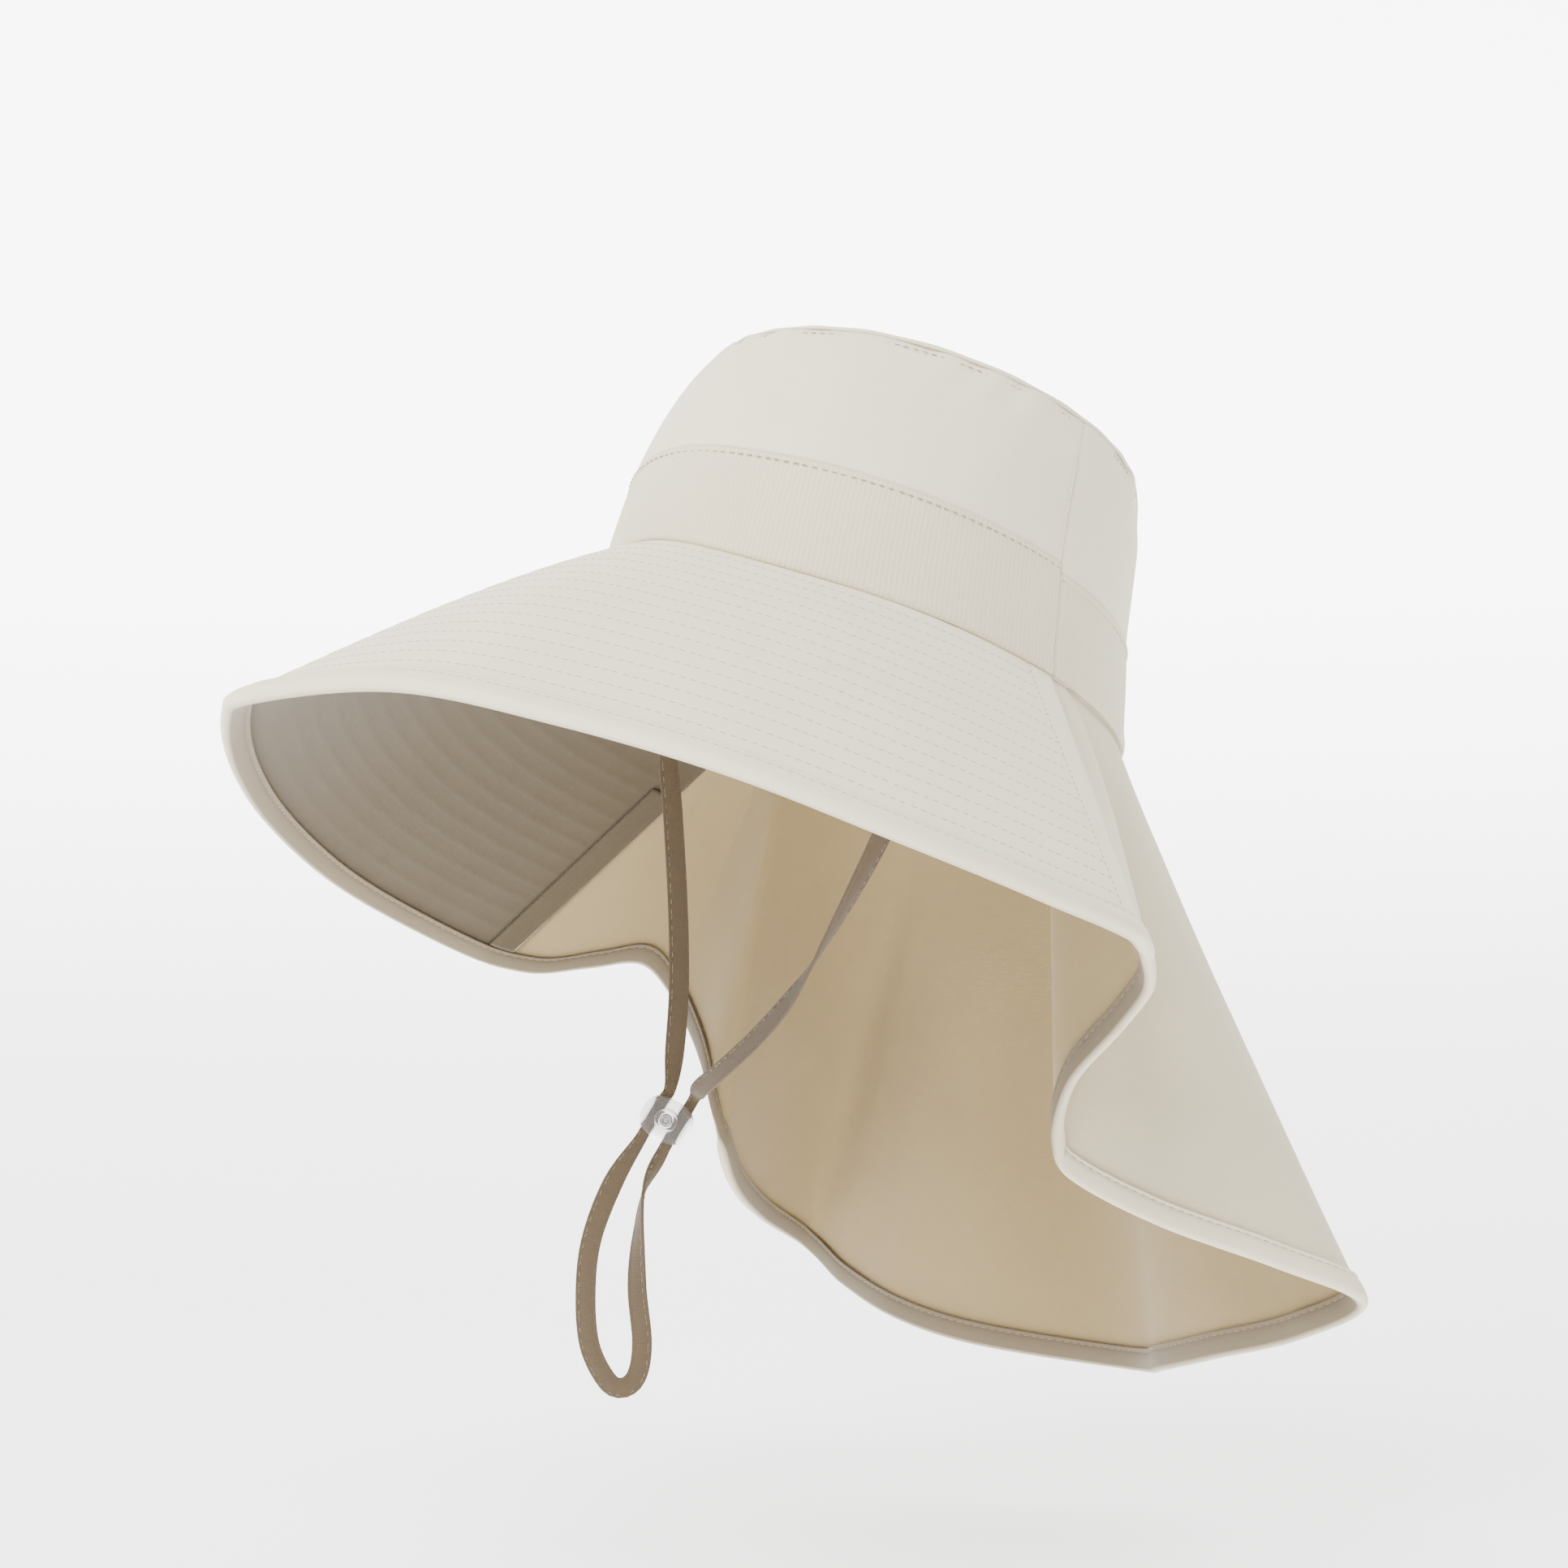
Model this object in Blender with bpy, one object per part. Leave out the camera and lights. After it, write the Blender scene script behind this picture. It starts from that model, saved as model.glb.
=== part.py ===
"""Flap sun hat: a cloth crown with a stiff quilted brim in front and a soft neck flap behind.

Metres, +Z up. The front of the hat faces -Y and the wearer's left is +X. The origin is the
centre of the head opening. The hat sits tilted back on the head, so its panels are modelled
upright round their own crown axis and hang from one tilted empty. The chin strap hangs
plumb, so it is modelled in the world. Tables are in millimetres and degrees.
"""
import math
from collections import namedtuple

import bmesh
import bpy
from mathutils import Vector

MM = 0.001
GAP = 0.3               # clear space between pieces that touch on the real hat

# The hat as it is worn
TILT_BACK = 18.3        # lean of the crown axis

# Cloth
CROWN_CLOTH = 2.0       # crown and band, shell and backing together
BRIM_CLOTH = 2.4        # quilted, so thicker
FLAP_CLOTH = 1.4
FACING_CLOTH = 0.8
BINDING_CLOTH = 0.8
BINDING_WIDTH = 7.5
BINDING_SLACK = 0.6     # clear space between the cloth's edge and the folded binding
BINDING_NOSE = 1.4      # how far the folded binding stands past the cloth's edge
BINDING_SHOULDER = 0.4  # where its fold begins to round off

# Chin strap and slider
TAPE_THICKNESS = 1.4
TAPE_POINTS = 80
SLIDER_CENTRE = (-80.3, -28.7, -158.7)
SLIDER_LEAN = 30.0      # the slider hangs askew on the two runs of tape
SLIDER_HALF_WIDTH = 10.0
SLIDER_HALF_HEIGHT = 8.0
SLIDER_THICKNESS = 8.0
SLIDER_SQUARENESS = 2.6
SLIDER_SIDES = 36
SLIDER_EDGE = 2.2       # rounding of its face and back
SLOT_OFFSET = 4.9
SLOT_WIDTH = 5.8
SLOT_THICKNESS = 2.6
TAPE_FACING = 52.2      # the slider's face looks to the front left, this far round from the front

# Outlines turned round the slider's middle; depth runs from its face, negative, to its back
Turned = namedtuple("Turned", "radius depth")
EYELET = [
    Turned(0.0, 3.9),
    Turned(1.2, 3.9),
    Turned(1.2, -2.7),
    Turned(2.4, -2.7),
    Turned(2.4, -4.2),
    Turned(2.0, -4.6),
    Turned(1.3, -4.6),
    Turned(1.0, -4.0),
    Turned(0.0, -4.0),
]
EYELET_BORE = [
    Turned(0.0, 5.0),
    Turned(1.5, 5.0),
    Turned(1.5, -2.4),
    Turned(2.7, -2.4),
    Turned(2.7, -5.0),
    Turned(0.0, -5.0),
]

# Ovals of the crown's wall, at the middle of the cloth
Oval = namedtuple("Oval", "height half_width half_length shift")
CROWN = [
    Oval(0.0, 82.8, 104.4, 0.0),       # head opening
    Oval(20.0, 81.4, 102.0, -2.5),
    Oval(39.6, 79.5, 99.2, -4.1),      # seam between band and crown
    Oval(60.0, 76.2, 96.5, -3.0),
    Oval(75.0, 73.8, 93.3, -1.6),
    Oval(84.0, 72.4, 89.8, -1.2),
    Oval(97.6, 70.2, 84.5, 0.6),       # seam round the top
]
CROWN_TOP = 97.6
WALL_STOP = 1.3         # the wall ends this far below, under the top's edge
SIDE_SEAM = 98.9        # oval angle of the side seams, from the front
FRONT_BAND_TOP = 39.6
BACK_BAND_TOP = 36.0
FRONT_RISE = 7.5        # the head opening rises this much at the middle of the front
FRONT_DROP = 1.2        # and the top is this much lower there
FRONT_SPREAD = 8        # a higher power keeps both nearer the middle

# How finely each wall panel is divided
Wall = namedtuple("Wall", "ending band_top steps")
WALLS = [
    Wall("front", FRONT_BAND_TOP, 30),
    Wall("back", BACK_BAND_TOP, 26),
]
BAND_ROWS = 3
CROWN_ROWS = 5

# Rings of the crown's top, from its underside round the edge to its upper face.
# share: of the oval's size; rise: above the seam
Ring = namedtuple("Ring", "share rise")
TIP = [
    Ring(0.2, 1.4),
    Ring(0.6, 0.5),
    Ring(0.96, -1.0),
    Ring(1.0, -1.0),
    Ring(1.0, 0.2),
    Ring(0.985, 1.0),
    Ring(0.6, 2.5),
    Ring(0.2, 3.4),
]
TIP_STEPS = 48

# The lower edge of brim and flap, along the middle of its binding, for the left half.
# angle: round from the front; seam_angle: where the cloth there leaves the crown's oval;
# bow: how far the cloth stands out between the crown and its edge
Hem = namedtuple("Hem", "angle radius height seam_angle bow")
HEM = [
    Hem(0.0, 219.0, -95.2, 0.0, 4.0),
    Hem(15.0, 208.6, -89.8, 16.5, 4.5),
    Hem(30.0, 199.4, -92.8, 33.0, 4.5),
    Hem(45.0, 193.4, -96.9, 49.5, 3.5),
    Hem(60.0, 187.2, -101.6, 65.5, 2.0),
    Hem(75.0, 182.3, -103.6, 81.0, 0.8),
    Hem(85.2, 181.4, -104.1, 93.0, 0.0),     # inner edge of the seam's facing
    Hem(88.0, 176.8, -104.6, 98.9, 0.0),     # seam between brim and flap
    Hem(92.0, 167.2, -103.3, 100.0, 1.0),
    Hem(97.0, 153.2, -96.7, 101.4, 3.0),
    Hem(103.0, 140.5, -90.6, 103.0, 4.0),
    Hem(109.0, 136.8, -99.4, 104.2, 3.0),
    Hem(112.0, 127.0, -111.0, 104.7, 0.0),
    Hem(115.5, 112.7, -127.5, 105.6, -2.0),
    Hem(118.0, 108.6, -139.4, 106.3, -3.0),
    Hem(120.5, 108.9, -149.5, 107.2, -4.0),  # bottom of the inward fold
    Hem(123.0, 113.9, -157.5, 110.0, -4.0),
    Hem(127.0, 144.3, -165.4, 118.5, -2.0),
    Hem(131.0, 182.0, -168.9, 129.0, 0.0),
    Hem(136.0, 211.5, -172.0, 140.0, -1.5),  # outer corner of the flap
    Hem(142.0, 197.5, -184.5, 147.0, -1.0),
    Hem(151.0, 177.0, -195.0, 155.0, 0.0),
    Hem(163.0, 174.5, -199.5, 165.0, 0.0),
    Hem(180.0, 200.0, -196.0, 180.0, 0.0),   # middle of the back
]
HEM_MARGIN = 3.2        # cloth past the middle of its binding
FACING_START = 85.2
BRIM_SEAM = 88.0
BOW_LEAN = 0.7          # below one, the bow is fullest nearer the crown
BRIM_COLUMNS = 26       # per half
FLAP_COLUMNS = 48       # per half
BEND_WEIGHT = 26.0      # millimetres of hem that one radian of bend counts as
SKIRT_INSET = 0.9       # the skirt's top edge hides this far in and below, under the band
SKIRT_DROP = 1.3
SKIRT_ROWS = (0.0, 0.16, 0.32, 0.48, 0.64, 0.8)
BRIM_ROWS = (0, 2, 4, 6, 7)     # the stiff brim needs only these rows, counted from the top
FACING_ROWS = (2, 4)

# The tape's route, from the wearer's right side to the left. turn: twist of the tape's
# flat face from facing the front left; width narrows where the tape bunches in the slider
Tape = namedtuple("Tape", "x y z turn width")
STRAP = [
    Tape(-76.4, -23.8, 17.3, 50, 7.5),      # sewn in at the right of the head opening
    Tape(-76.4, -26.6, 8.8, 50, 7.5),
    Tape(-79.6, -27.3, -8.0, 35, 7.5),
    Tape(-82.1, -27.1, -23.1, 20, 7.5),
    Tape(-81.0, -25.7, -45.5, 12, 7.5),
    Tape(-79.8, -24.1, -81.0, 8, 7.5),
    Tape(-79.5, -23.8, -110.0, 5, 7.5),
    Tape(-80.2, -25.2, -134.0, 0, 7.2),
    Tape(-79.4, -27.6, -146.8, 0, 4.6),     # right run through the slider
    Tape(-81.3, -30.1, -152.0, 0, 4.4),
    Tape(-84.4, -34.1, -160.7, 0, 4.4),
    Tape(-86.3, -36.5, -166.0, 0, 4.6),
    Tape(-92.3, -44.2, -181.6, 0, 7.5),     # down the loop
    Tape(-97.2, -50.4, -202.4, 0, 7.5),
    Tape(-98.4, -52.1, -222.0, 0, 7.5),
    Tape(-97.5, -50.8, -241.0, 0, 7.5),
    Tape(-93.5, -45.6, -254.0, 0, 7.5),
    Tape(-89.9, -41.0, -256.5, 0, 7.5),     # bottom of the loop
    Tape(-86.8, -37.0, -252.0, 5, 7.5),
    Tape(-85.6, -35.6, -240.0, 10, 7.5),
    Tape(-86.8, -37.1, -220.0, 20, 7.5),
    Tape(-86.5, -36.7, -199.6, 60, 7.5),
    Tape(-85.2, -35.0, -184.0, 95, 7.0),
    Tape(-81.2, -29.9, -170.6, 172, 4.6),
    Tape(-79.2, -27.4, -165.0, 180, 4.4),   # left run through the slider
    Tape(-76.2, -23.4, -156.8, 180, 4.4),
    Tape(-73.8, -20.4, -150.4, 182, 4.4),
    Tape(-64.5, -25.0, -147.0, 205, 7.5),
    Tape(-49.3, -27.2, -140.5, 214, 7.5),
    Tape(-29.0, -26.5, -128.5, 216, 7.5),
    Tape(-12.3, -25.8, -116.3, 230, 7.5),
    Tape(-1.0, -25.3, -106.0, 260, 7.5),    # half turn in the tape
    Tape(10.0, -24.8, -94.0, 285, 7.5),
    Tape(24.6, -24.2, -76.9, 310, 7.5),
    Tape(39.0, -23.5, -58.1, 330, 7.5),
    Tape(53.0, -24.2, -37.0, 335, 7.5),
    Tape(65.5, -25.3, -13.0, 335, 7.5),
    Tape(73.3, -26.3, 1.0, 335, 7.5),
    Tape(76.4, -25.9, 10.9, 335, 7.5),
    Tape(76.4, -23.8, 17.3, 335, 7.5),      # sewn in at the left
]


def clear_scene():
    for item in list(bpy.data.objects):
        bpy.data.objects.remove(item)


def material(name, colour, roughness, metallic=0.0):
    """A Principled material; colour is linear red, green and blue."""
    made = bpy.data.materials.new(name)
    made.use_nodes = True
    shader = made.node_tree.nodes["Principled BSDF"]
    shader.inputs["Base Color"].default_value = (*colour, 1.0)
    shader.inputs["Roughness"].default_value = roughness
    shader.inputs["Metallic"].default_value = metallic
    return made


def add_object(name, bm, surface, parent=None):
    """Turn a bmesh in millimetres into a named object in metres."""
    bmesh.ops.scale(bm, vec=(MM, MM, MM), verts=bm.verts)
    bmesh.ops.recalc_face_normals(bm, faces=bm.faces)
    mesh = bpy.data.meshes.new(name)
    bm.to_mesh(mesh)
    bm.free()
    mesh.materials.append(surface)
    made = bpy.data.objects.new(name, mesh)
    bpy.context.scene.collection.objects.link(made)
    made.parent = parent
    return made


def read_table(rows, key, column, at):
    """The value of one column of a table on a smooth curve through its rows."""
    keys = [getattr(row, key) for row in rows]
    values = [getattr(row, column) for row in rows]
    last = len(keys) - 1
    left = max(i for i in range(last) if keys[i] <= at or i == 0)
    slopes = []
    for i in (left, left + 1):
        before, after = max(i - 1, 0), min(i + 1, last)
        flat_end = i in (0, last) and key == "angle"
        rise = (values[after] - values[before]) / (keys[after] - keys[before])
        slopes.append(0.0 if flat_end and column != "seam_angle" else rise)
    span = keys[left + 1] - keys[left]
    t = (at - keys[left]) / span
    start = (2 * t**3 - 3 * t**2 + 1) * values[left] + (t**3 - 2 * t**2 + t) * span * slopes[0]
    end = (3 * t**2 - 2 * t**3) * values[left + 1] + (t**3 - t**2) * span * slopes[1]
    return start + end


def front_share(angle):
    """One at the middle of the front, falling to nothing at the sides."""
    return max(math.cos(math.radians(angle)), 0.0) ** FRONT_SPREAD


def oval_point(height, angle, inset=0.0):
    """A point of the crown's wall, at an oval angle from the front."""
    wide = read_table(CROWN, "height", "half_width", height) - inset
    long = read_table(CROWN, "height", "half_length", height) - inset
    shift = read_table(CROWN, "height", "shift", height)
    turn = math.radians(angle)
    up = height / CROWN_TOP
    lift = front_share(angle) * (FRONT_RISE * (1.0 - up) ** 2 - FRONT_DROP * up**2)
    return Vector((wide * math.sin(turn), shift - long * math.cos(turn), height + lift))


def mirrored(point):
    return Vector((-point.x, point.y, point.z))


def binding_middle(angle):
    """The middle of the binding on the left half of the hem."""
    radius = read_table(HEM, "angle", "radius", angle)
    height = read_table(HEM, "angle", "height", angle)
    turn = math.radians(angle)
    return Vector((radius * math.sin(turn), -radius * math.cos(turn), height))


def even_angles(start, stop, count):
    """Hem angles from start to stop, closer together where the hem bends."""
    last = 400
    fine = [start + (stop - start) * i / last for i in range(last + 1)]
    points = [binding_middle(angle) for angle in fine]
    walked = [0.0]
    for i in range(1, last + 1):
        step = points[i] - points[i - 1]
        ahead = points[min(i + 1, last)] - points[i]
        bend = step.angle(ahead) if ahead.length > 0.0 else 0.0
        walked.append(walked[-1] + step.length + BEND_WEIGHT * bend)
    picked = []
    for k in range(count):
        target = walked[-1] * k / (count - 1)
        i = min(range(last + 1), key=lambda n: abs(walked[n] - target))
        picked.append(fine[i])
    return picked


def skirt_column(angle):
    """One line of the brim or flap, from under the band out to its edge."""
    seam_angle = read_table(HEM, "angle", "seam_angle", angle)
    bow = read_table(HEM, "angle", "bow", angle)
    top = oval_point(0.0, seam_angle, inset=SKIRT_INSET)
    top.z -= SKIRT_DROP
    run = binding_middle(angle) - top
    length = run.length + HEM_MARGIN
    along = run.normalized()
    stand_way = (Vector((0.0, 0.0, 1.0)) - along * along.z).normalized()
    column = []
    for share in SKIRT_ROWS + (1.0 - BINDING_WIDTH / length, 1.0):
        stand = bow * math.sin(math.pi * share**BOW_LEAN)
        column.append(top + along * (length * share) + stand_way * stand)
    return column


def skirt_grid():
    """Columns right round the hat, each a list of (point, normal), and the seam's columns."""
    front = even_angles(0.0, FACING_START, BRIM_COLUMNS) + [BRIM_SEAM]
    back = even_angles(BRIM_SEAM, 180.0, FLAP_COLUMNS)[1:]
    left = [skirt_column(angle) for angle in front + back]
    right = [[mirrored(point) for point in column] for column in left[-2:0:-1]]
    grid = left + right
    count = len(grid)
    rows = len(grid[0])
    ring = []
    for i, column in enumerate(grid):
        before, after = grid[i - 1], grid[(i + 1) % count]
        normals = []
        for j in range(rows):
            round_hat = after[j] - before[j]
            down = column[min(j + 1, rows - 1)] - column[max(j - 1, 0)]
            normals.append(down.cross(round_hat).normalized())
        edge_way = (after[-1] - before[-1]).normalized()
        edge_normal = (column[-1] - column[-2]).cross(edge_way).normalized()
        normals[-1] = edge_normal
        normals[-2] = edge_normal
        ring.append(list(zip(column, normals)))
    seam_left = len(front) - 1
    return ring, seam_left, count - seam_left


def nudged(column, towards, distance):
    """A column moved a little way along the cloth, to part two panels at their seam."""
    moved = []
    for (point, normal), (other, _) in zip(column, towards):
        moved.append((point + (other - point).normalized() * distance, normal))
    return moved


def short_of_binding(column):
    """A point of the column just above the binding's edge."""
    (above, _), (edge, normal) = column[-3], column[-2]
    return edge + (above - edge).normalized() * 2 * GAP, normal


def add_split(bm, top, next_top, next_edge, edge):
    """Two triangles, cut the same way on the left half of the hat and mirrored on the right."""
    if top.co.x + next_edge.co.x > 0.0:
        halves = ((top, next_top, next_edge), (top, next_edge, edge))
    else:
        halves = ((top, next_top, edge), (next_top, next_edge, edge))
    for half in halves:
        bm.faces.new(half)


def sheet(name, columns, thickness, surface, parent, offset=0.0):
    """A cloth panel: a grid of (point, normal) given a thickness."""
    bm = bmesh.new()
    sides = []
    for side in (offset + thickness / 2, offset - thickness / 2):
        sides.append([[bm.verts.new(point + normal * side) for point, normal in column]
                      for column in columns])
    outer, inner = sides
    wide, tall = len(columns), len(columns[0])
    for i in range(wide - 1):
        for j in range(tall - 1):
            for side in sides:
                add_split(bm, side[i][j], side[i + 1][j], side[i + 1][j + 1], side[i][j + 1])
    border = [(i, 0) for i in range(wide)]
    border += [(wide - 1, j) for j in range(1, tall)]
    border += [(i, tall - 1) for i in range(wide - 2, -1, -1)]
    border += [(0, j) for j in range(tall - 2, 0, -1)]
    for (i, j), (k, m) in zip(border, border[1:] + border[:1]):
        bm.faces.new((outer[i][j], outer[k][m], inner[k][m], inner[i][j]))
    return add_object(name, bm, surface, parent)


def wall_columns(low, high, rows, start, stop, steps):
    """Columns of a crown panel between two heights and two oval angles."""
    heights = [low + (high - low) * j / (rows - 1) for j in range(rows)]
    columns = []
    for i in range(steps + 1):
        angle = start + (stop - start) * i / steps
        column = []
        for height in heights:
            point = oval_point(height, angle)
            round_hat = oval_point(height, angle + 0.5) - oval_point(height, angle - 0.5)
            up_low, up_high = max(height - 1.0, 0.0), min(height + 1.0, CROWN_TOP)
            up = oval_point(up_high, angle) - oval_point(up_low, angle)
            column.append((point, round_hat.cross(up).normalized()))
        columns.append(column)
    return columns


def make_crown_walls(surface, parent):
    """Two bands below and two crown panels above, parted at the side seams."""
    part_line = math.degrees(GAP / 2 / CROWN[0].half_width)
    front = SIDE_SEAM - part_line
    back = SIDE_SEAM + part_line
    ends = {"front": (-front, front), "back": (back, 360.0 - back)}
    for wall in WALLS:
        start, stop = ends[wall.ending]
        low, high = wall.band_top - GAP / 2, wall.band_top + GAP / 2
        band = wall_columns(0.0, low, BAND_ROWS, start, stop, wall.steps)
        sheet("band_" + wall.ending, band, CROWN_CLOTH, surface, parent)
        crown = wall_columns(high, CROWN_TOP - WALL_STOP, CROWN_ROWS, start, stop, wall.steps)
        sheet("crown_" + wall.ending, crown, CROWN_CLOTH, surface, parent)


def make_crown_tip(surface, parent):
    """The oval top, a shallow dome over the wall's upper edge."""
    bm = bmesh.new()
    middle = Vector((0.0, CROWN[-1].shift, CROWN_TOP))
    rings = []
    for row in TIP:
        ring = []
        for i in range(TIP_STEPS):
            edge = oval_point(CROWN_TOP, 360.0 * i / TIP_STEPS, inset=-CROWN_CLOTH / 2)
            spot = middle + (edge - middle) * row.share
            ring.append(bm.verts.new((spot.x, spot.y, spot.z + row.rise)))
        rings.append(ring)
    for low, high in zip(rings, rings[1:]):
        for i in range(TIP_STEPS):
            k = (i + 1) % TIP_STEPS
            bm.faces.new((low[i], low[k], high[k], high[i]))
    bm.faces.new(rings[0])
    bm.faces.new(rings[-1])
    add_object("crown_tip", bm, surface, parent)


def make_skirt(grid, seam_left, seam_right, surface, flap_surface, parent):
    """The brim in front of the seams, the flap behind them, and the facings inside."""
    count = len(grid)
    part_line = GAP / 2
    brim = [nudged(grid[seam_right], grid[seam_right + 1], part_line)]
    brim += [grid[i % count] for i in range(seam_right + 1, count + seam_left)]
    brim.append(nudged(grid[seam_left], grid[seam_left - 1], part_line))
    stiff = [[column[j] for j in BRIM_ROWS] for column in brim]
    sheet("brim", stiff, BRIM_CLOTH, surface, parent)
    flap = [nudged(grid[seam_left], grid[seam_left + 1], part_line)]
    flap += grid[seam_left + 1:seam_right]
    flap.append(nudged(grid[seam_right], grid[seam_right - 1], part_line))
    sheet("neck_flap", flap, FLAP_CLOTH, flap_surface, parent)
    inside = -(BRIM_CLOTH / 2 + GAP + FACING_CLOTH / 2)
    for ending, pair in (("left", (brim[-2], brim[-1])), ("right", (brim[0], brim[1]))):
        strip = [[column[j] for j in FACING_ROWS] + [short_of_binding(column)] for column in pair]
        sheet("seam_facing_" + ending, strip, FACING_CLOTH, surface, parent, offset=inside)


def binding_section(cloth):
    """The folded strip cut across, as (depth into the cloth, side of it)."""
    inner = cloth / 2 + BINDING_SLACK
    outer = inner + BINDING_CLOTH
    upper = [(-BINDING_SLACK, inner), (BINDING_WIDTH, inner), (BINDING_WIDTH, outer),
             (BINDING_SHOULDER, outer), (-BINDING_NOSE, outer / 2)]
    return upper + [(depth, -side) for depth, side in reversed(upper)]


def make_edge_binding(grid, seam_left, seam_right, surface, parent):
    """One folded strip round the whole lower edge, with the cloth's edge inside its fold."""
    bm = bmesh.new()
    rings = []
    for i, column in enumerate(grid):
        on_brim = i <= seam_left or i >= seam_right
        section = binding_section(BRIM_CLOTH if on_brim else FLAP_CLOTH)
        edge, normal = column[-1]
        inward = (column[-2][0] - edge).normalized()
        rings.append([bm.verts.new(edge + inward * depth + normal * side) for depth, side in section])
    depths = [depth for depth, _ in section]
    for here, there in zip(rings, rings[1:] + rings[:1]):
        for k in range(len(section)):
            top, edge = k, (k + 1) % len(section)
            if depths[top] < depths[edge]:
                top, edge = edge, top
            add_split(bm, here[top], there[top], there[edge], here[edge])
    add_object("edge_binding", bm, surface, parent)


def smooth_route(rows, count):
    """Tape rows at even steps along a smooth curve through the table's rows."""
    fine = []
    between = 20
    for i in range(len(rows) - 1):
        four = [Vector(rows[min(max(k, 0), len(rows) - 1)]) for k in range(i - 1, i + 3)]
        for step in range(between):
            t = step / between
            fine.append(0.5 * ((2 * four[1]) + (four[2] - four[0]) * t
                               + (2 * four[0] - 5 * four[1] + 4 * four[2] - four[3]) * t**2
                               + (3 * four[1] - four[0] - 3 * four[2] + four[3]) * t**3))
    fine.append(Vector(rows[-1]))
    walked = [0.0]
    for one, two in zip(fine, fine[1:]):
        walked.append(walked[-1] + (Vector(two[:3]) - Vector(one[:3])).length)
    even = []
    for k in range(count):
        target = walked[-1] * k / (count - 1)
        i = max(n for n in range(len(walked) - 1) if walked[n] <= target)
        share = (target - walked[i]) / (walked[i + 1] - walked[i])
        even.append(fine[i].lerp(fine[i + 1], share))
    return even


def front_left():
    """The level direction that the slider's face looks in."""
    turn = math.radians(TAPE_FACING)
    return Vector((math.sin(turn), -math.cos(turn), 0.0))


def make_chin_strap(surface):
    """A flat folded tape swept along its route."""
    bm = bmesh.new()
    route = smooth_route(STRAP, TAPE_POINTS)
    rings = []
    for i, row in enumerate(route):
        before, after = route[max(i - 1, 0)], route[min(i + 1, len(route) - 1)]
        along = (Vector(after[:3]) - Vector(before[:3])).normalized()
        flat = along.cross(front_left()).normalized()
        face = flat.cross(along)
        turn = math.radians(row[3])
        side = flat * math.cos(turn) + face * math.sin(turn)
        thick = side.cross(along) * (TAPE_THICKNESS / 2)
        half = side * (row[4] / 2)
        spot = Vector(row[:3])
        corners = (spot + half + thick, spot - half + thick, spot - half - thick, spot + half - thick)
        rings.append([bm.verts.new(corner) for corner in corners])
    for here, there in zip(rings, rings[1:]):
        for k in range(4):
            m = (k + 1) % 4
            bm.faces.new((here[k], here[m], there[m], there[k]))
    bm.faces.new(rings[0])
    bm.faces.new(rings[-1])
    bmesh.ops.triangulate(bm, faces=bm.faces)
    add_object("chin_strap", bm, surface)


def turned(name, outline, surface, parent):
    """An outline of radius and depth spun round the Y axis."""
    bm = bmesh.new()
    points = [bm.verts.new((row.radius, row.depth, 0.0)) for row in outline]
    edges = [bm.edges.new(pair) for pair in zip(points, points[1:])]
    bmesh.ops.spin(bm, geom=points + edges, axis=(0.0, 1.0, 0.0), cent=(0.0, 0.0, 0.0),
                   angle=2 * math.pi, steps=20, use_merge=True)
    bmesh.ops.remove_doubles(bm, verts=bm.verts, dist=0.01)
    return add_object(name, bm, surface, parent)


def slot_box(name, side, parent):
    """The room that one run of tape takes in the slider."""
    bm = bmesh.new()
    bmesh.ops.create_cube(bm, size=1.0)
    bmesh.ops.scale(bm, vec=(SLOT_WIDTH, SLOT_THICKNESS, SLIDER_HALF_HEIGHT * 3), verts=bm.verts)
    bmesh.ops.translate(bm, vec=(side, 0.0, 0.0), verts=bm.verts)
    return add_object(name, bm, None, parent)


def cut(target, cutter):
    """Cut a hidden object out of another."""
    cutter.hide_render = True
    cutter.display_type = "WIRE"
    step = target.modifiers.new(cutter.name, "BOOLEAN")
    step.operation = "DIFFERENCE"
    step.object = cutter


def slider_outline(turn):
    """A point of the rounded square outline, as (x, z)."""
    x, z = math.cos(turn), math.sin(turn)
    power = 2 / SLIDER_SQUARENESS
    return (math.copysign(abs(x) ** power, x) * SLIDER_HALF_WIDTH,
            math.copysign(abs(z) ** power, z) * SLIDER_HALF_HEIGHT)


def make_slider(clear, metal):
    """A rounded block with a slot for each run of tape, and a small eyelet in its face.

    Its own frame has X across the two runs, Y out of the back and Z along the runs.
    """
    place = bpy.data.objects.new("slider_place", None)
    bpy.context.scene.collection.objects.link(place)
    place.location = Vector(SLIDER_CENTRE) * MM
    place.rotation_euler = (0.0, math.radians(SLIDER_LEAN), math.radians(TAPE_FACING))
    bm = bmesh.new()
    outline = []
    for i in range(SLIDER_SIDES):
        x, z = slider_outline(2 * math.pi * i / SLIDER_SIDES)
        outline.append(bm.verts.new((x, -SLIDER_THICKNESS / 2, z)))
    face = bm.faces.new(outline)
    grown = bmesh.ops.extrude_face_region(bm, geom=[face])
    back = [item for item in grown["geom"] if isinstance(item, bmesh.types.BMVert)]
    bmesh.ops.translate(bm, vec=(0.0, SLIDER_THICKNESS, 0.0), verts=back)
    rims = [edge for edge in bm.edges if abs(edge.verts[0].co.y - edge.verts[1].co.y) < 0.001]
    bmesh.ops.bevel(bm, geom=rims, offset=SLIDER_EDGE, segments=3, profile=0.5,
                    affect="EDGES", material=-1)
    slider = add_object("strap_slider", bm, clear, place)
    cut(slider, slot_box("slot_right", -SLOT_OFFSET, place))
    cut(slider, slot_box("slot_left", SLOT_OFFSET, place))
    cut(slider, turned("eyelet_bore", EYELET_BORE, None, place))
    turned("slider_eyelet", EYELET, metal, place)


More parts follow.
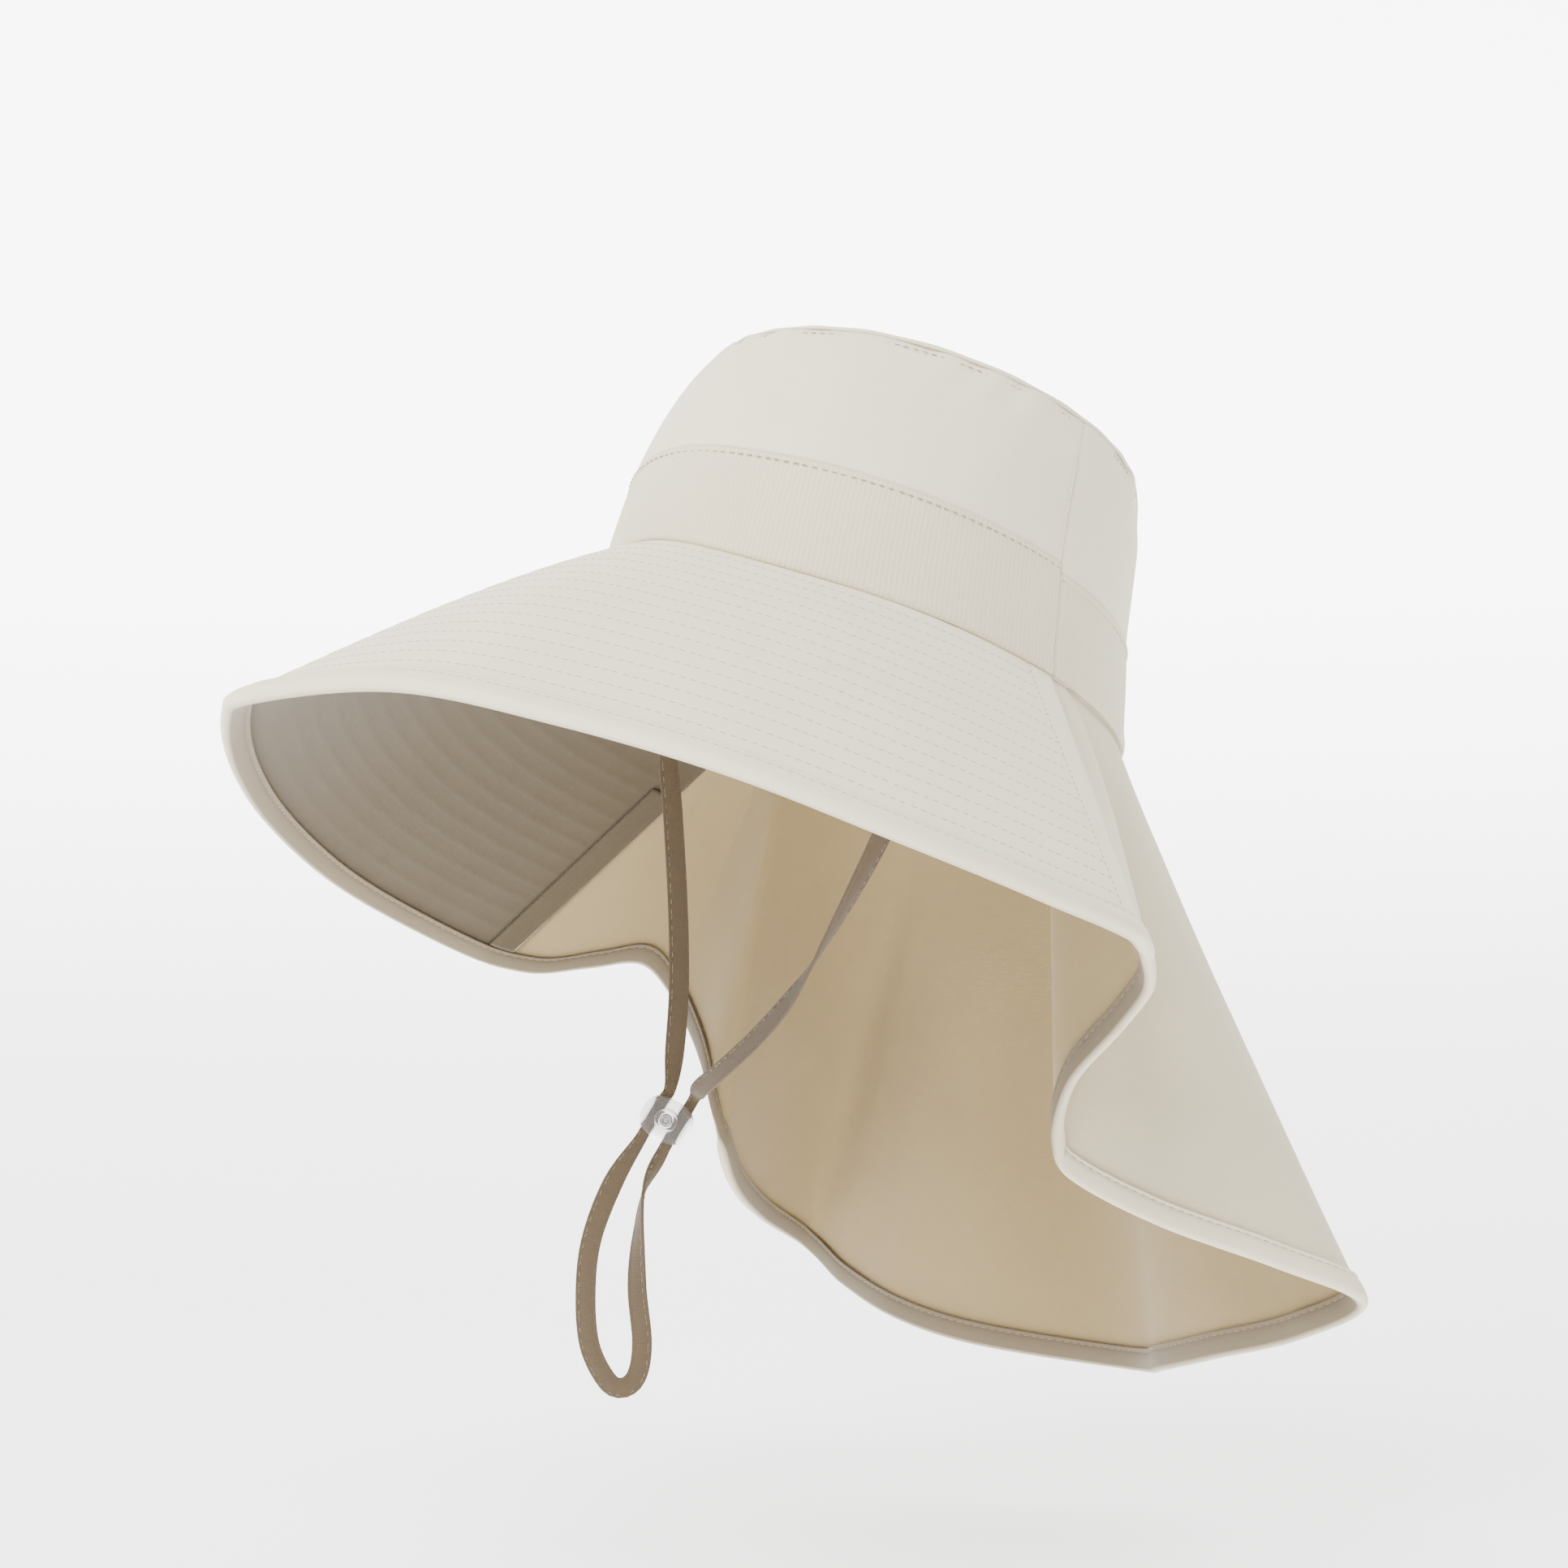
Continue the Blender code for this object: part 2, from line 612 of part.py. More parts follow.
def main():
    clear_scene()
    cream = material("cream_cotton", (0.716, 0.672, 0.595), 0.85)
    sand = material("flap_cotton", (0.617, 0.570, 0.474), 0.85)
    edging = material("binding_cotton", (0.560, 0.510, 0.425), 0.85)
    tan = material("tape_cotton", (0.320, 0.260, 0.190), 0.85)
    clear = material("clear_plastic", (0.800, 0.800, 0.800), 0.20)
    metal = material("eyelet_metal", (0.450, 0.450, 0.450), 0.30, metallic=0.9)
    hat = bpy.data.objects.new("worn_tilt", None)
    bpy.context.scene.collection.objects.link(hat)
    hat.rotation_euler = (math.radians(-TILT_BACK), 0.0, 0.0)
    make_crown_walls(cream, hat)
    make_crown_tip(cream, hat)
    grid, seam_left, seam_right = skirt_grid()
    make_skirt(grid, seam_left, seam_right, cream, sand, hat)
    make_edge_binding(grid, seam_left, seam_right, edging, hat)
    make_chin_strap(tan)
    make_slider(clear, metal)


main()
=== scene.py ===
# %% [markdown]
# # A cloth sun hat with a neck flap
#
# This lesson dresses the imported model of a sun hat. The real hat is cut from cotton: a flat
# topped crown, a wide band, a brim stiffened by rows of quilting, and a soft flap that falls
# over the neck. A binding closes the long lower edge, and a flat chin tape runs through a
# clear slider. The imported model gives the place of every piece, so it is loaded first.

# %% Load the frame
import bisect
import functools
import math
from collections import namedtuple

import bmesh
import bpy
from mathutils import Matrix, Vector, noise


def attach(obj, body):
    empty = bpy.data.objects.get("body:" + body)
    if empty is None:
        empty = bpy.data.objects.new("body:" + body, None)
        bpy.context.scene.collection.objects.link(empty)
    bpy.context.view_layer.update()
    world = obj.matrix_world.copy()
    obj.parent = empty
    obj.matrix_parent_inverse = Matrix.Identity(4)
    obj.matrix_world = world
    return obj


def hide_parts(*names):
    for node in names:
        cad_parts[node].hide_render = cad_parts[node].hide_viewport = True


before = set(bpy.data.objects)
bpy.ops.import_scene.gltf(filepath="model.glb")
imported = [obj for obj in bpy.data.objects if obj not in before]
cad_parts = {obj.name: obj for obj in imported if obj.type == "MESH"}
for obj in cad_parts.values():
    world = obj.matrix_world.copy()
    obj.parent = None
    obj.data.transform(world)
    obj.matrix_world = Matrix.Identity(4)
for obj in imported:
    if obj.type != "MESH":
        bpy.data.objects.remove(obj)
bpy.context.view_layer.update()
MM = 0.001
print("nodes in the frame:", len(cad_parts))

# %% [markdown]
# ## The camera
#
# The hat is seen from its front left and from a little below, so that the inside of the brim
# and the flap shows. A camera is placed by three directions: to its right, up, and back
# towards itself. Multiplying those by distances gives its place without any guessing by eye.

# %% Make the camera
CAMERA_AROUND = math.radians(52.21)
CAMERA_ABOVE = math.radians(-4.79)
CAMERA_DISTANCE = 0.998875
CAMERA_LEFT = 0.028324
CAMERA_BELOW = 0.037483
CAMERA_LENS = 63.91     # millimetres, on a 36 mm sensor

right = Vector((math.cos(CAMERA_AROUND), math.sin(CAMERA_AROUND), 0.0))
back = Vector((math.sin(CAMERA_AROUND) * math.cos(CAMERA_ABOVE),
               -math.cos(CAMERA_AROUND) * math.cos(CAMERA_ABOVE),
               math.sin(CAMERA_ABOVE)))
up = back.cross(right)
camera_data = bpy.data.cameras.new("camera")
camera_data.lens = CAMERA_LENS
camera_data.sensor_width = 36.0
camera = bpy.data.objects.new("camera", camera_data)
bpy.context.scene.collection.objects.link(camera)
turn = Matrix((right, up, back)).transposed().to_4x4()
spot = back * CAMERA_DISTANCE - right * CAMERA_LEFT - up * CAMERA_BELOW
camera.matrix_world = Matrix.Translation(spot) @ turn
bpy.context.scene.camera = camera
print("camera at", [round(value, 3) for value in spot])

# %% [markdown]
# ## Cotton, thread, tape and plastic
#
# Woven cotton is matt, with a faint sheen where fibres stand up at its edges. Up close it is a
# net of threads that cross at right angles. Two wave textures, one across and one along the
# piece's own UV map, make that net as a small bump, and two noises vary its colour: a broad
# one for the unevenness of washed cloth and a fine one for single fibres. Because the UV maps
# are in metres, one thread has the same size on every piece.

# %% Helpers for materials
def wave_scale(pitch):
    """The Scale that gives a wave texture this distance between its ridges."""
    return 2 * math.pi / 20 / pitch


def new_material(name, roughness):
    made = bpy.data.materials.new(name)
    made.use_nodes = True
    shader = made.node_tree.nodes["Principled BSDF"]
    shader.inputs["Roughness"].default_value = roughness
    return made, made.node_tree, shader


def link(tree, source, output, target, entry):
    tree.links.new(source.outputs[output], target.inputs[entry])


def math_node(tree, operation, first, second):
    """A Math node; first is a (node, output) pair, and second a number or such a pair."""
    made = tree.nodes.new("ShaderNodeMath")
    made.operation = operation
    link(tree, first[0], first[1], made, 0)
    if isinstance(second, tuple):
        link(tree, second[0], second[1], made, 1)
    else:
        made.inputs[1].default_value = second
    return made


def wave(tree, uv, direction, pitch, distortion=0.0):
    made = tree.nodes.new("ShaderNodeTexWave")
    made.wave_type = "BANDS"
    made.bands_direction = direction
    made.inputs["Scale"].default_value = wave_scale(pitch)
    made.inputs["Distortion"].default_value = distortion
    link(tree, uv, "UV", made, "Vector")
    return made


def noise_node(tree, coordinates, scale, detail=3.0):
    made = tree.nodes.new("ShaderNodeTexNoise")
    made.inputs["Scale"].default_value = scale
    made.inputs["Detail"].default_value = detail
    link(tree, coordinates, "Object", made, "Vector")
    return made


def two_tones(tree, factor, dark, light):
    """Mixes two colours by a noise, kept soft by a ramp."""
    ramp = tree.nodes.new("ShaderNodeValToRGB")
    ramp.color_ramp.elements[0].position = 0.3
    ramp.color_ramp.elements[1].position = 0.7
    ramp.color_ramp.elements[0].color = (*dark, 1.0)
    ramp.color_ramp.elements[1].color = (*light, 1.0)
    link(tree, factor, "Fac", ramp, "Fac")
    return ramp


# %% Make the cloth
MIX_A, MIX_B, MIX_RESULT = 6, 7, 2      # the colour sockets of a Mix node
# Multiplied in by the fibre noise, a random tone, and on ribbed cloth by the across wave, which is painted
# shade between the ribs.
FIBRE_TONE_AND_RIB_SHADE = (0.78, 0.74, 0.68)
# Past these points the binding's inner side turns darker: painted shade.
FOLD_START, FOLD_STOP = 0.0096, 0.0112  # where a binding's UV map turns to its inner side


def mix_colours(tree, first, second):
    """A Mix node from a node's colour to a fixed colour."""
    made = tree.nodes.new("ShaderNodeMix")
    made.data_type = "RGBA"
    output = MIX_RESULT if first.bl_idname == "ShaderNodeMix" else 0
    tree.links.new(first.outputs[output], made.inputs[MIX_A])
    made.inputs[MIX_B].default_value = (*second, 1.0)
    return made


def paint_shade_past_fold(tree, coordinates, tone, inner):
    """The darker inner colour where the UV map has gone round the fold: painted shade on the binding's inner
    side.
    """
    parts = tree.nodes.new("ShaderNodeSeparateXYZ")
    link(tree, coordinates, "UV", parts, 0)
    share = tree.nodes.new("ShaderNodeMapRange")
    share.inputs["From Min"].default_value = FOLD_START
    share.inputs["From Max"].default_value = FOLD_STOP
    link(tree, parts, "Y", share, "Value")
    mixed = mix_colours(tree, tone, inner)
    link(tree, share, "Result", mixed, "Factor")
    return mixed


def cotton(name, colour, across=0.00045, along=0.00045, rib_shade_share=0.0, strength=0.25, inner=None):
    """Woven cotton. The rib share is the share of the across wave in the colour: painted shade between the
    ribs.

    inner is the darker colour past the fold of a binding, whose UV map runs across it: painted shade on its
    inner side.
    """
    made, tree, shader = new_material(name, 0.92)
    shader.inputs["Sheen Weight"].default_value = 0.18
    shader.inputs["Sheen Roughness"].default_value = 0.6
    shader.inputs["Specular IOR Level"].default_value = 0.25
    coordinates = tree.nodes.new("ShaderNodeTexCoord")
    warp = wave(tree, coordinates, "X", across, 0.4)
    weft = wave(tree, coordinates, "Y", along, 0.4)
    net = math_node(tree, "ADD", (warp, "Fac"), (weft, "Fac"))
    fibres = noise_node(tree, coordinates, 1400.0)
    height = math_node(tree, "ADD", (net, 0), (fibres, "Fac"))
    bump = tree.nodes.new("ShaderNodeBump")
    bump.inputs["Strength"].default_value = strength
    bump.inputs["Distance"].default_value = 0.00012
    link(tree, height, 0, bump, "Height")
    link(tree, bump, "Normal", shader, "Normal")
    broad = noise_node(tree, coordinates, 26.0, 4.0)
    darker = [value * 0.945 for value in colour]
    tone = two_tones(tree, broad, darker, colour)
    if inner:
        tone = paint_shade_past_fold(tree, coordinates, tone, inner)
    speck_and_rib_shade = math_node(tree, "MULTIPLY", (fibres, "Fac"), 0.12)
    # The across wave darkens the grooves between ribs: painted shade.
    if rib_shade_share:
        painted_rib_shade = math_node(tree, "MULTIPLY", (warp, "Fac"), rib_shade_share)
        speck_and_rib_shade = math_node(tree, "ADD", (speck_and_rib_shade, 0), (painted_rib_shade, 0))
    shade = mix_colours(tree, tone, FIBRE_TONE_AND_RIB_SHADE)
    shade.blend_type = "MULTIPLY"
    link(tree, speck_and_rib_shade, 0, shade, "Factor")
    tree.links.new(shade.outputs[MIX_RESULT], shader.inputs["Base Color"])
    return made


CREAM = (0.790, 0.710, 0.535)
# The flap's inner side is a darker, warmer copy of the cloth: painted shade and painted warm light.
PAINTED_INSIDE_SHADE = (0.375, 0.280, 0.140)
# The brim's underside and the facings are a much darker copy of the cloth: painted shade.
SHADED = (0.088, 0.066, 0.037)
cream_cotton = cotton("cream_cotton", CREAM)
# The ribbed band's colour darkens along its ribs: painted shade in the grooves.
ribbed_cotton = cotton("ribbed_cotton", (0.740, 0.665, 0.490), across=0.0017, rib_shade_share=0.42, strength=0.6)
under_painted_shade = cotton("under_painted_shade", SHADED)
# The flap's outer side is a darker copy of the cream cloth: painted shade of the steep flap.
flap_cotton = cotton("flap_cotton", (0.660, 0.580, 0.405))
inside_painted_shade = cotton("inside_painted_shade", PAINTED_INSIDE_SHADE)
# The binding's inner side is much darker: painted shade past the fold.
binding_cotton = cotton("binding_cotton", (0.760, 0.680, 0.505), inner=(0.185, 0.145, 0.090))
tape_cotton = cotton("tape_cotton", (0.098, 0.068, 0.038), across=0.0007, along=0.0005, strength=0.5)
print("cloth materials:", 7)

# %% [markdown]
# ## Thread
#
# Sewing thread is a little smoother than the cloth and lies in short bright dashes. One
# material serves the pale seams, and a browner one the tape.

# %% Make the thread
def thread(name, colour):
    made, tree, shader = new_material(name, 0.6)
    shader.inputs["Sheen Weight"].default_value = 0.3
    coordinates = tree.nodes.new("ShaderNodeTexCoord")
    twist = noise_node(tree, coordinates, 2600.0)
    tone = two_tones(tree, twist, [value * 0.8 for value in colour], colour)
    tree.links.new(tone.outputs["Color"], shader.inputs["Base Color"])
    return made


pale_thread = thread("pale_thread", (0.330, 0.265, 0.180))
bright_thread = thread("bright_thread", (0.800, 0.760, 0.680))
tape_thread = thread("tape_thread", (0.190, 0.145, 0.090))

# %% [markdown]
# ## Clear plastic and metal
#
# The slider is clear plastic. Transmission lets the tape show through it, and a small uneven
# roughness stands for the scuffs of use. The eyelet is plain grey metal.

# %% Make plastic and metal
clear_plastic, tree, shader = new_material("clear_plastic", 0.06)
shader.inputs["Base Color"].default_value = (0.80, 0.775, 0.76, 1.0)
shader.inputs["Transmission Weight"].default_value = 0.92
shader.inputs["IOR"].default_value = 1.24
coordinates = tree.nodes.new("ShaderNodeTexCoord")
scuffs = noise_node(tree, coordinates, 320.0)
bump = tree.nodes.new("ShaderNodeBump")
bump.inputs["Strength"].default_value = 0.15
bump.inputs["Distance"].default_value = 0.0002
link(tree, scuffs, "Fac", bump, "Height")
link(tree, bump, "Normal", shader, "Normal")

eyelet_metal, tree, shader = new_material("eyelet_metal", 0.32)
shader.inputs["Metallic"].default_value = 1.0
coordinates = tree.nodes.new("ShaderNodeTexCoord")
grain = noise_node(tree, coordinates, 900.0)
tone = two_tones(tree, grain, (0.30, 0.29, 0.27), (0.52, 0.51, 0.49))
tree.links.new(tone.outputs["Color"], shader.inputs["Base Color"])

# %% [markdown]
# ## How a piece is made
#
# A sewn piece starts as a flat grid, as its cloth was cut, and each point is then moved to its
# place on the hat. The grid keeps a UV map in metres. A second step may press points in or
# lift them along their normals, for seams and creases, and a Solidify modifier gives the cloth
# its thickness.

# %% Helpers for pieces
def shaped_grid(columns, rows, place, relief=None):
    """A grid whose points go where place(u, v) says; it gives a point and a UV in metres."""
    bm = bmesh.new()
    layer = bm.loops.layers.uv.new("UVMap")
    bmesh.ops.create_grid(bm, x_segments=columns, y_segments=rows, size=1.0)
    shares = {vert: ((vert.co.x + 1.0) / 2.0, (vert.co.y + 1.0) / 2.0) for vert in bm.verts}
    flat = {}
    for vert, (u, v) in shares.items():
        vert.co, flat[vert] = place(u, v)
    for face in bm.faces:
        for loop in face.loops:
            loop[layer].uv = flat[loop.vert]
    bm.normal_update()
    if relief:
        moves = [(vert, vert.normal * relief(*shares[vert])) for vert in bm.verts]
        for vert, move in moves:
            vert.co += move
    return bm


def make_piece(name, bm, materials, nodes=(), thickness=0.0, offset=0.0):
    """Turn a bmesh into a smooth piece that rides on the hat and stands for CAD nodes."""
    mesh = bpy.data.meshes.new(name)
    bm.to_mesh(mesh)
    bm.free()
    for polygon in mesh.polygons:
        polygon.use_smooth = True
    for surface in materials:
        mesh.materials.append(surface)
    made = bpy.data.objects.new(name, mesh)
    bpy.context.scene.collection.objects.link(made)
    if thickness:
        wall = made.modifiers.new("cloth", "SOLIDIFY")
        wall.thickness = thickness
        wall.offset = offset
        wall.material_offset = len(materials) - 1
    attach(made, "root")
    if nodes:
        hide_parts(*nodes)
    print(name, "faces:", len(mesh.polygons))
    return made


# %% [markdown]
# ## The chin tape
#
# The tape is folded cotton, 7.5 mm wide, sewn in at both side seams. It hangs plumb to the
# slider, where it bunches in two slots, and makes a loop below. Its route is a list of points,
# with the twist of the flat tape at each. A smooth curve through them is cut into even steps,
# and a grid is wrapped round that line as a flat rounded section.

# %% The tape's route
Tape = namedtuple("Tape", "x y z turn width")
STRAP = [
    Tape(-0.0764, -0.0238, 0.0173, 50, 0.0075),  # sewn in at the right of the head opening
    Tape(-0.0764, -0.0266, 0.0088, 50, 0.0075),
    Tape(-0.0796, -0.0273, -0.0080, 35, 0.0075),
    Tape(-0.0821, -0.0271, -0.0231, 20, 0.0075),
    Tape(-0.0810, -0.0257, -0.0455, 12, 0.0075),
    Tape(-0.0798, -0.0241, -0.0810, 8, 0.0075),
    Tape(-0.0795, -0.0238, -0.1100, 5, 0.0075),
    Tape(-0.0802, -0.0252, -0.1340, 0, 0.0072),
    Tape(-0.0794, -0.0276, -0.1468, 0, 0.0046),  # right run through the slider
    Tape(-0.0813, -0.0301, -0.1520, 0, 0.0044),
    Tape(-0.0844, -0.0341, -0.1607, 0, 0.0044),
    Tape(-0.0863, -0.0365, -0.1660, 0, 0.0046),
    Tape(-0.0923, -0.0442, -0.1816, 0, 0.0075),  # down the loop
    Tape(-0.0972, -0.0504, -0.2024, 0, 0.0075),
    Tape(-0.0984, -0.0521, -0.2220, 0, 0.0075),
    Tape(-0.0975, -0.0508, -0.2410, 0, 0.0075),
    Tape(-0.0935, -0.0456, -0.2540, 0, 0.0075),
    Tape(-0.0899, -0.0410, -0.2565, 0, 0.0075),  # bottom of the loop
    Tape(-0.0868, -0.0370, -0.2520, 5, 0.0075),
    Tape(-0.0856, -0.0356, -0.2400, 10, 0.0075),
    Tape(-0.0868, -0.0371, -0.2200, 20, 0.0075),
    Tape(-0.0865, -0.0367, -0.1996, 60, 0.0075),
    Tape(-0.0852, -0.0350, -0.1840, 95, 0.0070),
    Tape(-0.0812, -0.0299, -0.1706, 172, 0.0046),
    Tape(-0.0792, -0.0274, -0.1650, 180, 0.0044),  # left run through the slider
    Tape(-0.0762, -0.0234, -0.1568, 180, 0.0044),
    Tape(-0.0738, -0.0204, -0.1504, 182, 0.0044),
    Tape(-0.0645, -0.0250, -0.1470, 205, 0.0075),
    Tape(-0.0493, -0.0272, -0.1405, 214, 0.0075),
    Tape(-0.0290, -0.0265, -0.1285, 216, 0.0075),
    Tape(-0.0123, -0.0258, -0.1163, 230, 0.0075),
    Tape(-0.0010, -0.0253, -0.1060, 260, 0.0075),  # half turn in the tape
    Tape(0.0100, -0.0248, -0.0940, 285, 0.0075),
    Tape(0.0246, -0.0242, -0.0769, 310, 0.0075),
    Tape(0.0390, -0.0235, -0.0581, 330, 0.0075),
    Tape(0.0530, -0.0242, -0.0370, 335, 0.0075),
    Tape(0.0655, -0.0253, -0.0130, 335, 0.0075),
    Tape(0.0733, -0.0263, 0.0010, 335, 0.0075),
    Tape(0.0764, -0.0259, 0.0109, 335, 0.0075),
    Tape(0.0764, -0.0238, 0.0173, 335, 0.0075),  # sewn in at the left
]
TAPE_THICKNESS = 1.4 * MM
TAPE_STEPS = 320


def smooth_route(rows, count):
    """Rows at even steps along a smooth curve through the list's rows."""
    fine = []
    between = 20
    for i in range(len(rows) - 1):
        four = [Vector(rows[min(max(k, 0), len(rows) - 1)]) for k in range(i - 1, i + 3)]
        for step in range(between):
            t = step / between
            fine.append(0.5 * ((2 * four[1]) + (four[2] - four[0]) * t
                               + (2 * four[0] - 5 * four[1] + 4 * four[2] - four[3]) * t**2
                               + (3 * four[1] - four[0] - 3 * four[2] + four[3]) * t**3))
    fine.append(Vector(rows[-1]))
    walked = [0.0]
    for one, two in zip(fine, fine[1:]):
        walked.append(walked[-1] + (Vector(two[:3]) - Vector(one[:3])).length)
    even = []
    for k in range(count):
        target = walked[-1] * k / (count - 1)
        i = min(bisect.bisect_right(walked, target) - 1, len(fine) - 2)
        share = (target - walked[i]) / (walked[i + 1] - walked[i])
        even.append(fine[i].lerp(fine[i + 1], share))
    return even, walked[-1]


route, tape_length = smooth_route(STRAP, TAPE_STEPS + 1)
print("tape length in metres:", round(tape_length, 4))

# %% Wrap the tape
TAPE_FACING = math.radians(52.2)
front_left = Vector((math.sin(TAPE_FACING), -math.cos(TAPE_FACING), 0.0))


def tape_frame(i):
    """The tape's middle, its direction, its flat side and its thickness way at a step."""
    row = route[i]
    before, after = route[max(i - 1, 0)], route[min(i + 1, TAPE_STEPS)]
    along = (Vector(after[:3]) - Vector(before[:3])).normalized()
    flat = along.cross(front_left).normalized()
    face = flat.cross(along)
    side = flat * math.cos(math.radians(row[3])) + face * math.sin(math.radians(row[3]))
    return Vector(row[:3]), along, side, side.cross(along)


def tape_place(u, v):
    """Round the section: a flat oval with square shoulders, pinched where it is stitched."""
    i = round(u * TAPE_STEPS)
    middle, along, side, thick = tape_frame(i)
    half = route[i][4] / 2
    turn = 2 * math.pi * v
    across, through = math.cos(turn), math.sin(turn)
    across = math.copysign(abs(across) ** 0.45, across)
    through = math.copysign(abs(through) ** 0.45, through)
    pinch = 1.0 - 0.35 * math.exp(-((abs(across) - 0.66) / 0.10) ** 2)
    spot = middle + side * half * across + thick * TAPE_THICKNESS / 2 * through * pinch
    return spot, (tape_length * u, half * across)


bm = shaped_grid(TAPE_STEPS, 28, tape_place)
bmesh.ops.remove_doubles(bm, verts=bm.verts, dist=1e-6)
ends = [edge for edge in bm.edges if edge.is_boundary]
bmesh.ops.holes_fill(bm, edges=ends)
bmesh.ops.recalc_face_normals(bm, faces=bm.faces)
chin_tape = make_piece("chin_tape", bm, [tape_cotton], ["chin_strap"])

# %% [markdown]
# ## Stitches
#
# A row of stitches is a line of short threads that rise from the cloth and dive back in. Each
# one is a stretched icosphere of twenty faces, so that thousands of them stay light.

# %% A helper that sews
STITCH_PITCH = 3.3 * MM
STITCH_LENGTH = 2.5 * MM
STITCH_WIDTH = 0.55 * MM
BATCH = 50


def sew(name, spots, surface, width=STITCH_WIDTH, length=STITCH_LENGTH):
    """One piece of thread at each (place, direction, normal), made in small batches for speed."""
    whole = bmesh.new()
    size = Matrix.Diagonal((length / 2, width / 2, width / 2.4, 1.0))
    for first in range(0, len(spots), BATCH):
        batch = bmesh.new()
        for place, along, normal in spots[first:first + BATCH]:
            side = normal.cross(along).normalized()
            axes = Matrix((along, side, along.cross(side))).transposed().to_4x4()
            bmesh.ops.create_icosphere(batch, subdivisions=1, radius=1.0,
                                       matrix=Matrix.Translation(place) @ axes @ size)
        mesh = bpy.data.meshes.new("batch")
        batch.to_mesh(mesh)
        batch.free()
        whole.from_mesh(mesh)
        bpy.data.meshes.remove(mesh)
    return make_piece(name, whole, [surface])


def tape_stitches():
    """Two rows, near the tape's edges, on both of its faces."""
    spots = []
    steps = int(tape_length / STITCH_PITCH)
    for k in range(1, steps):
        i = round(k * TAPE_STEPS / steps)
        middle, along, side, thick = tape_frame(i)
        for way in (1.0, -1.0):
            place = middle + side * route[i][4] / 2 * 0.66 + thick * TAPE_THICKNESS * 0.40 * way
            spots.append((place, along, thick * way))
    return spots


# %% [markdown]
# ## The slider's middle
#
# The slider and its eyelet already have their shape in the frame, so they only get their
# materials. Round the eyelet the clear plastic rises in a low ring. Its outline is spun round
# an axis, as on a lathe, and the ring is then set on the slider's face.

# %% Make the ring
SLIDER_CENTRE = Vector((-0.0803, -0.0287, -0.1587))
SLIDER_LEAN = math.radians(30.0)
RING = [(2.9, -3.7), (2.9, -4.5), (3.3, -4.8), (3.9, -4.7), (4.4, -4.2), (4.5, -3.7)]

bm = bmesh.new()
points = [bm.verts.new((radius * MM, depth * MM, 0.0)) for radius, depth in RING]
edges = [bm.edges.new(pair) for pair in zip(points, points[1:] + points[:1])]
bmesh.ops.spin(bm, geom=points + edges, axis=(0.0, 1.0, 0.0), cent=(0.0, 0.0, 0.0),
               angle=2 * math.pi, steps=48, use_merge=True)
bmesh.ops.recalc_face_normals(bm, faces=bm.faces)
place = (Matrix.Translation(SLIDER_CENTRE) @ Matrix.Rotation(TAPE_FACING, 4, "Z")
         @ Matrix.Rotation(SLIDER_LEAN, 4, "Y"))
bmesh.ops.transform(bm, matrix=place, verts=bm.verts)
slider_ring = make_piece("slider_ring", bm, [clear_plastic])

strap_stitches = sew("strap_stitches", tape_stitches(), tape_thread, width=0.45 * MM)
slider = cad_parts["strap_slider"]
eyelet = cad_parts["slider_eyelet"]
for node, surface in ((slider, clear_plastic), (eyelet, eyelet_metal)):
    node.material_slots[0].material = surface

# %% [markdown]
# ## The crown's form
#
# The crown is a stack of ovals: a row for each height gives the half width, the half length
# and how far the oval is shifted back. A smooth curve through the rows gives any height
# between. The hat is worn tilted back, so a point of the crown is turned by that tilt.

# %% The crown's ovals
TILT = Matrix.Rotation(math.radians(-18.3), 3, "X")
Oval = namedtuple("Oval", "height half_width half_length shift")
CROWN = [
    Oval(0.0, 82.8, 104.4, 0.0),
    Oval(20.0, 81.4, 102.0, -2.5),
    Oval(39.6, 79.5, 99.2, -4.1),
    Oval(60.0, 76.2, 96.5, -3.0),
    Oval(75.0, 73.8, 93.3, -1.6),
    Oval(84.0, 72.4, 89.8, -1.2),
    Oval(97.6, 70.2, 84.5, 0.6),
]
CROWN_TOP = 97.6
BAND_TOP = {"front": 39.6, "back": 36.0}
SIDE_SEAM = 98.9        # oval angle of the side seams, from the front
FRONT_RISE = 7.5
FRONT_DROP = 1.2
FRONT_SPREAD = 8
CROWN_CLOTH = 2.0 * MM


def read_table(rows, key, column, at):
    """The value of one column of a table on a smooth curve through its rows."""
    keys = [getattr(row, key) for row in rows]
    values = [getattr(row, column) for row in rows]
    last = len(keys) - 1
    left = min(max(bisect.bisect_right(keys, at) - 1, 0), last - 1)
    slopes = []
    for i in (left, left + 1):
        before, after = max(i - 1, 0), min(i + 1, last)
        flat_end = i in (0, last) and key == "angle"
        rise = (values[after] - values[before]) / (keys[after] - keys[before])
        slopes.append(0.0 if flat_end and column != "seam_angle" else rise)
    span = keys[left + 1] - keys[left]
    t = (at - keys[left]) / span
    start = (2 * t**3 - 3 * t**2 + 1) * values[left] + (t**3 - 2 * t**2 + t) * span * slopes[0]
    end = (3 * t**2 - 2 * t**3) * values[left + 1] + (t**3 - t**2) * span * slopes[1]
    return start + end


@functools.lru_cache(maxsize=None)
def oval_sizes(height):
    return [read_table(CROWN, "height", column, height) for column in Oval._fields[1:]]


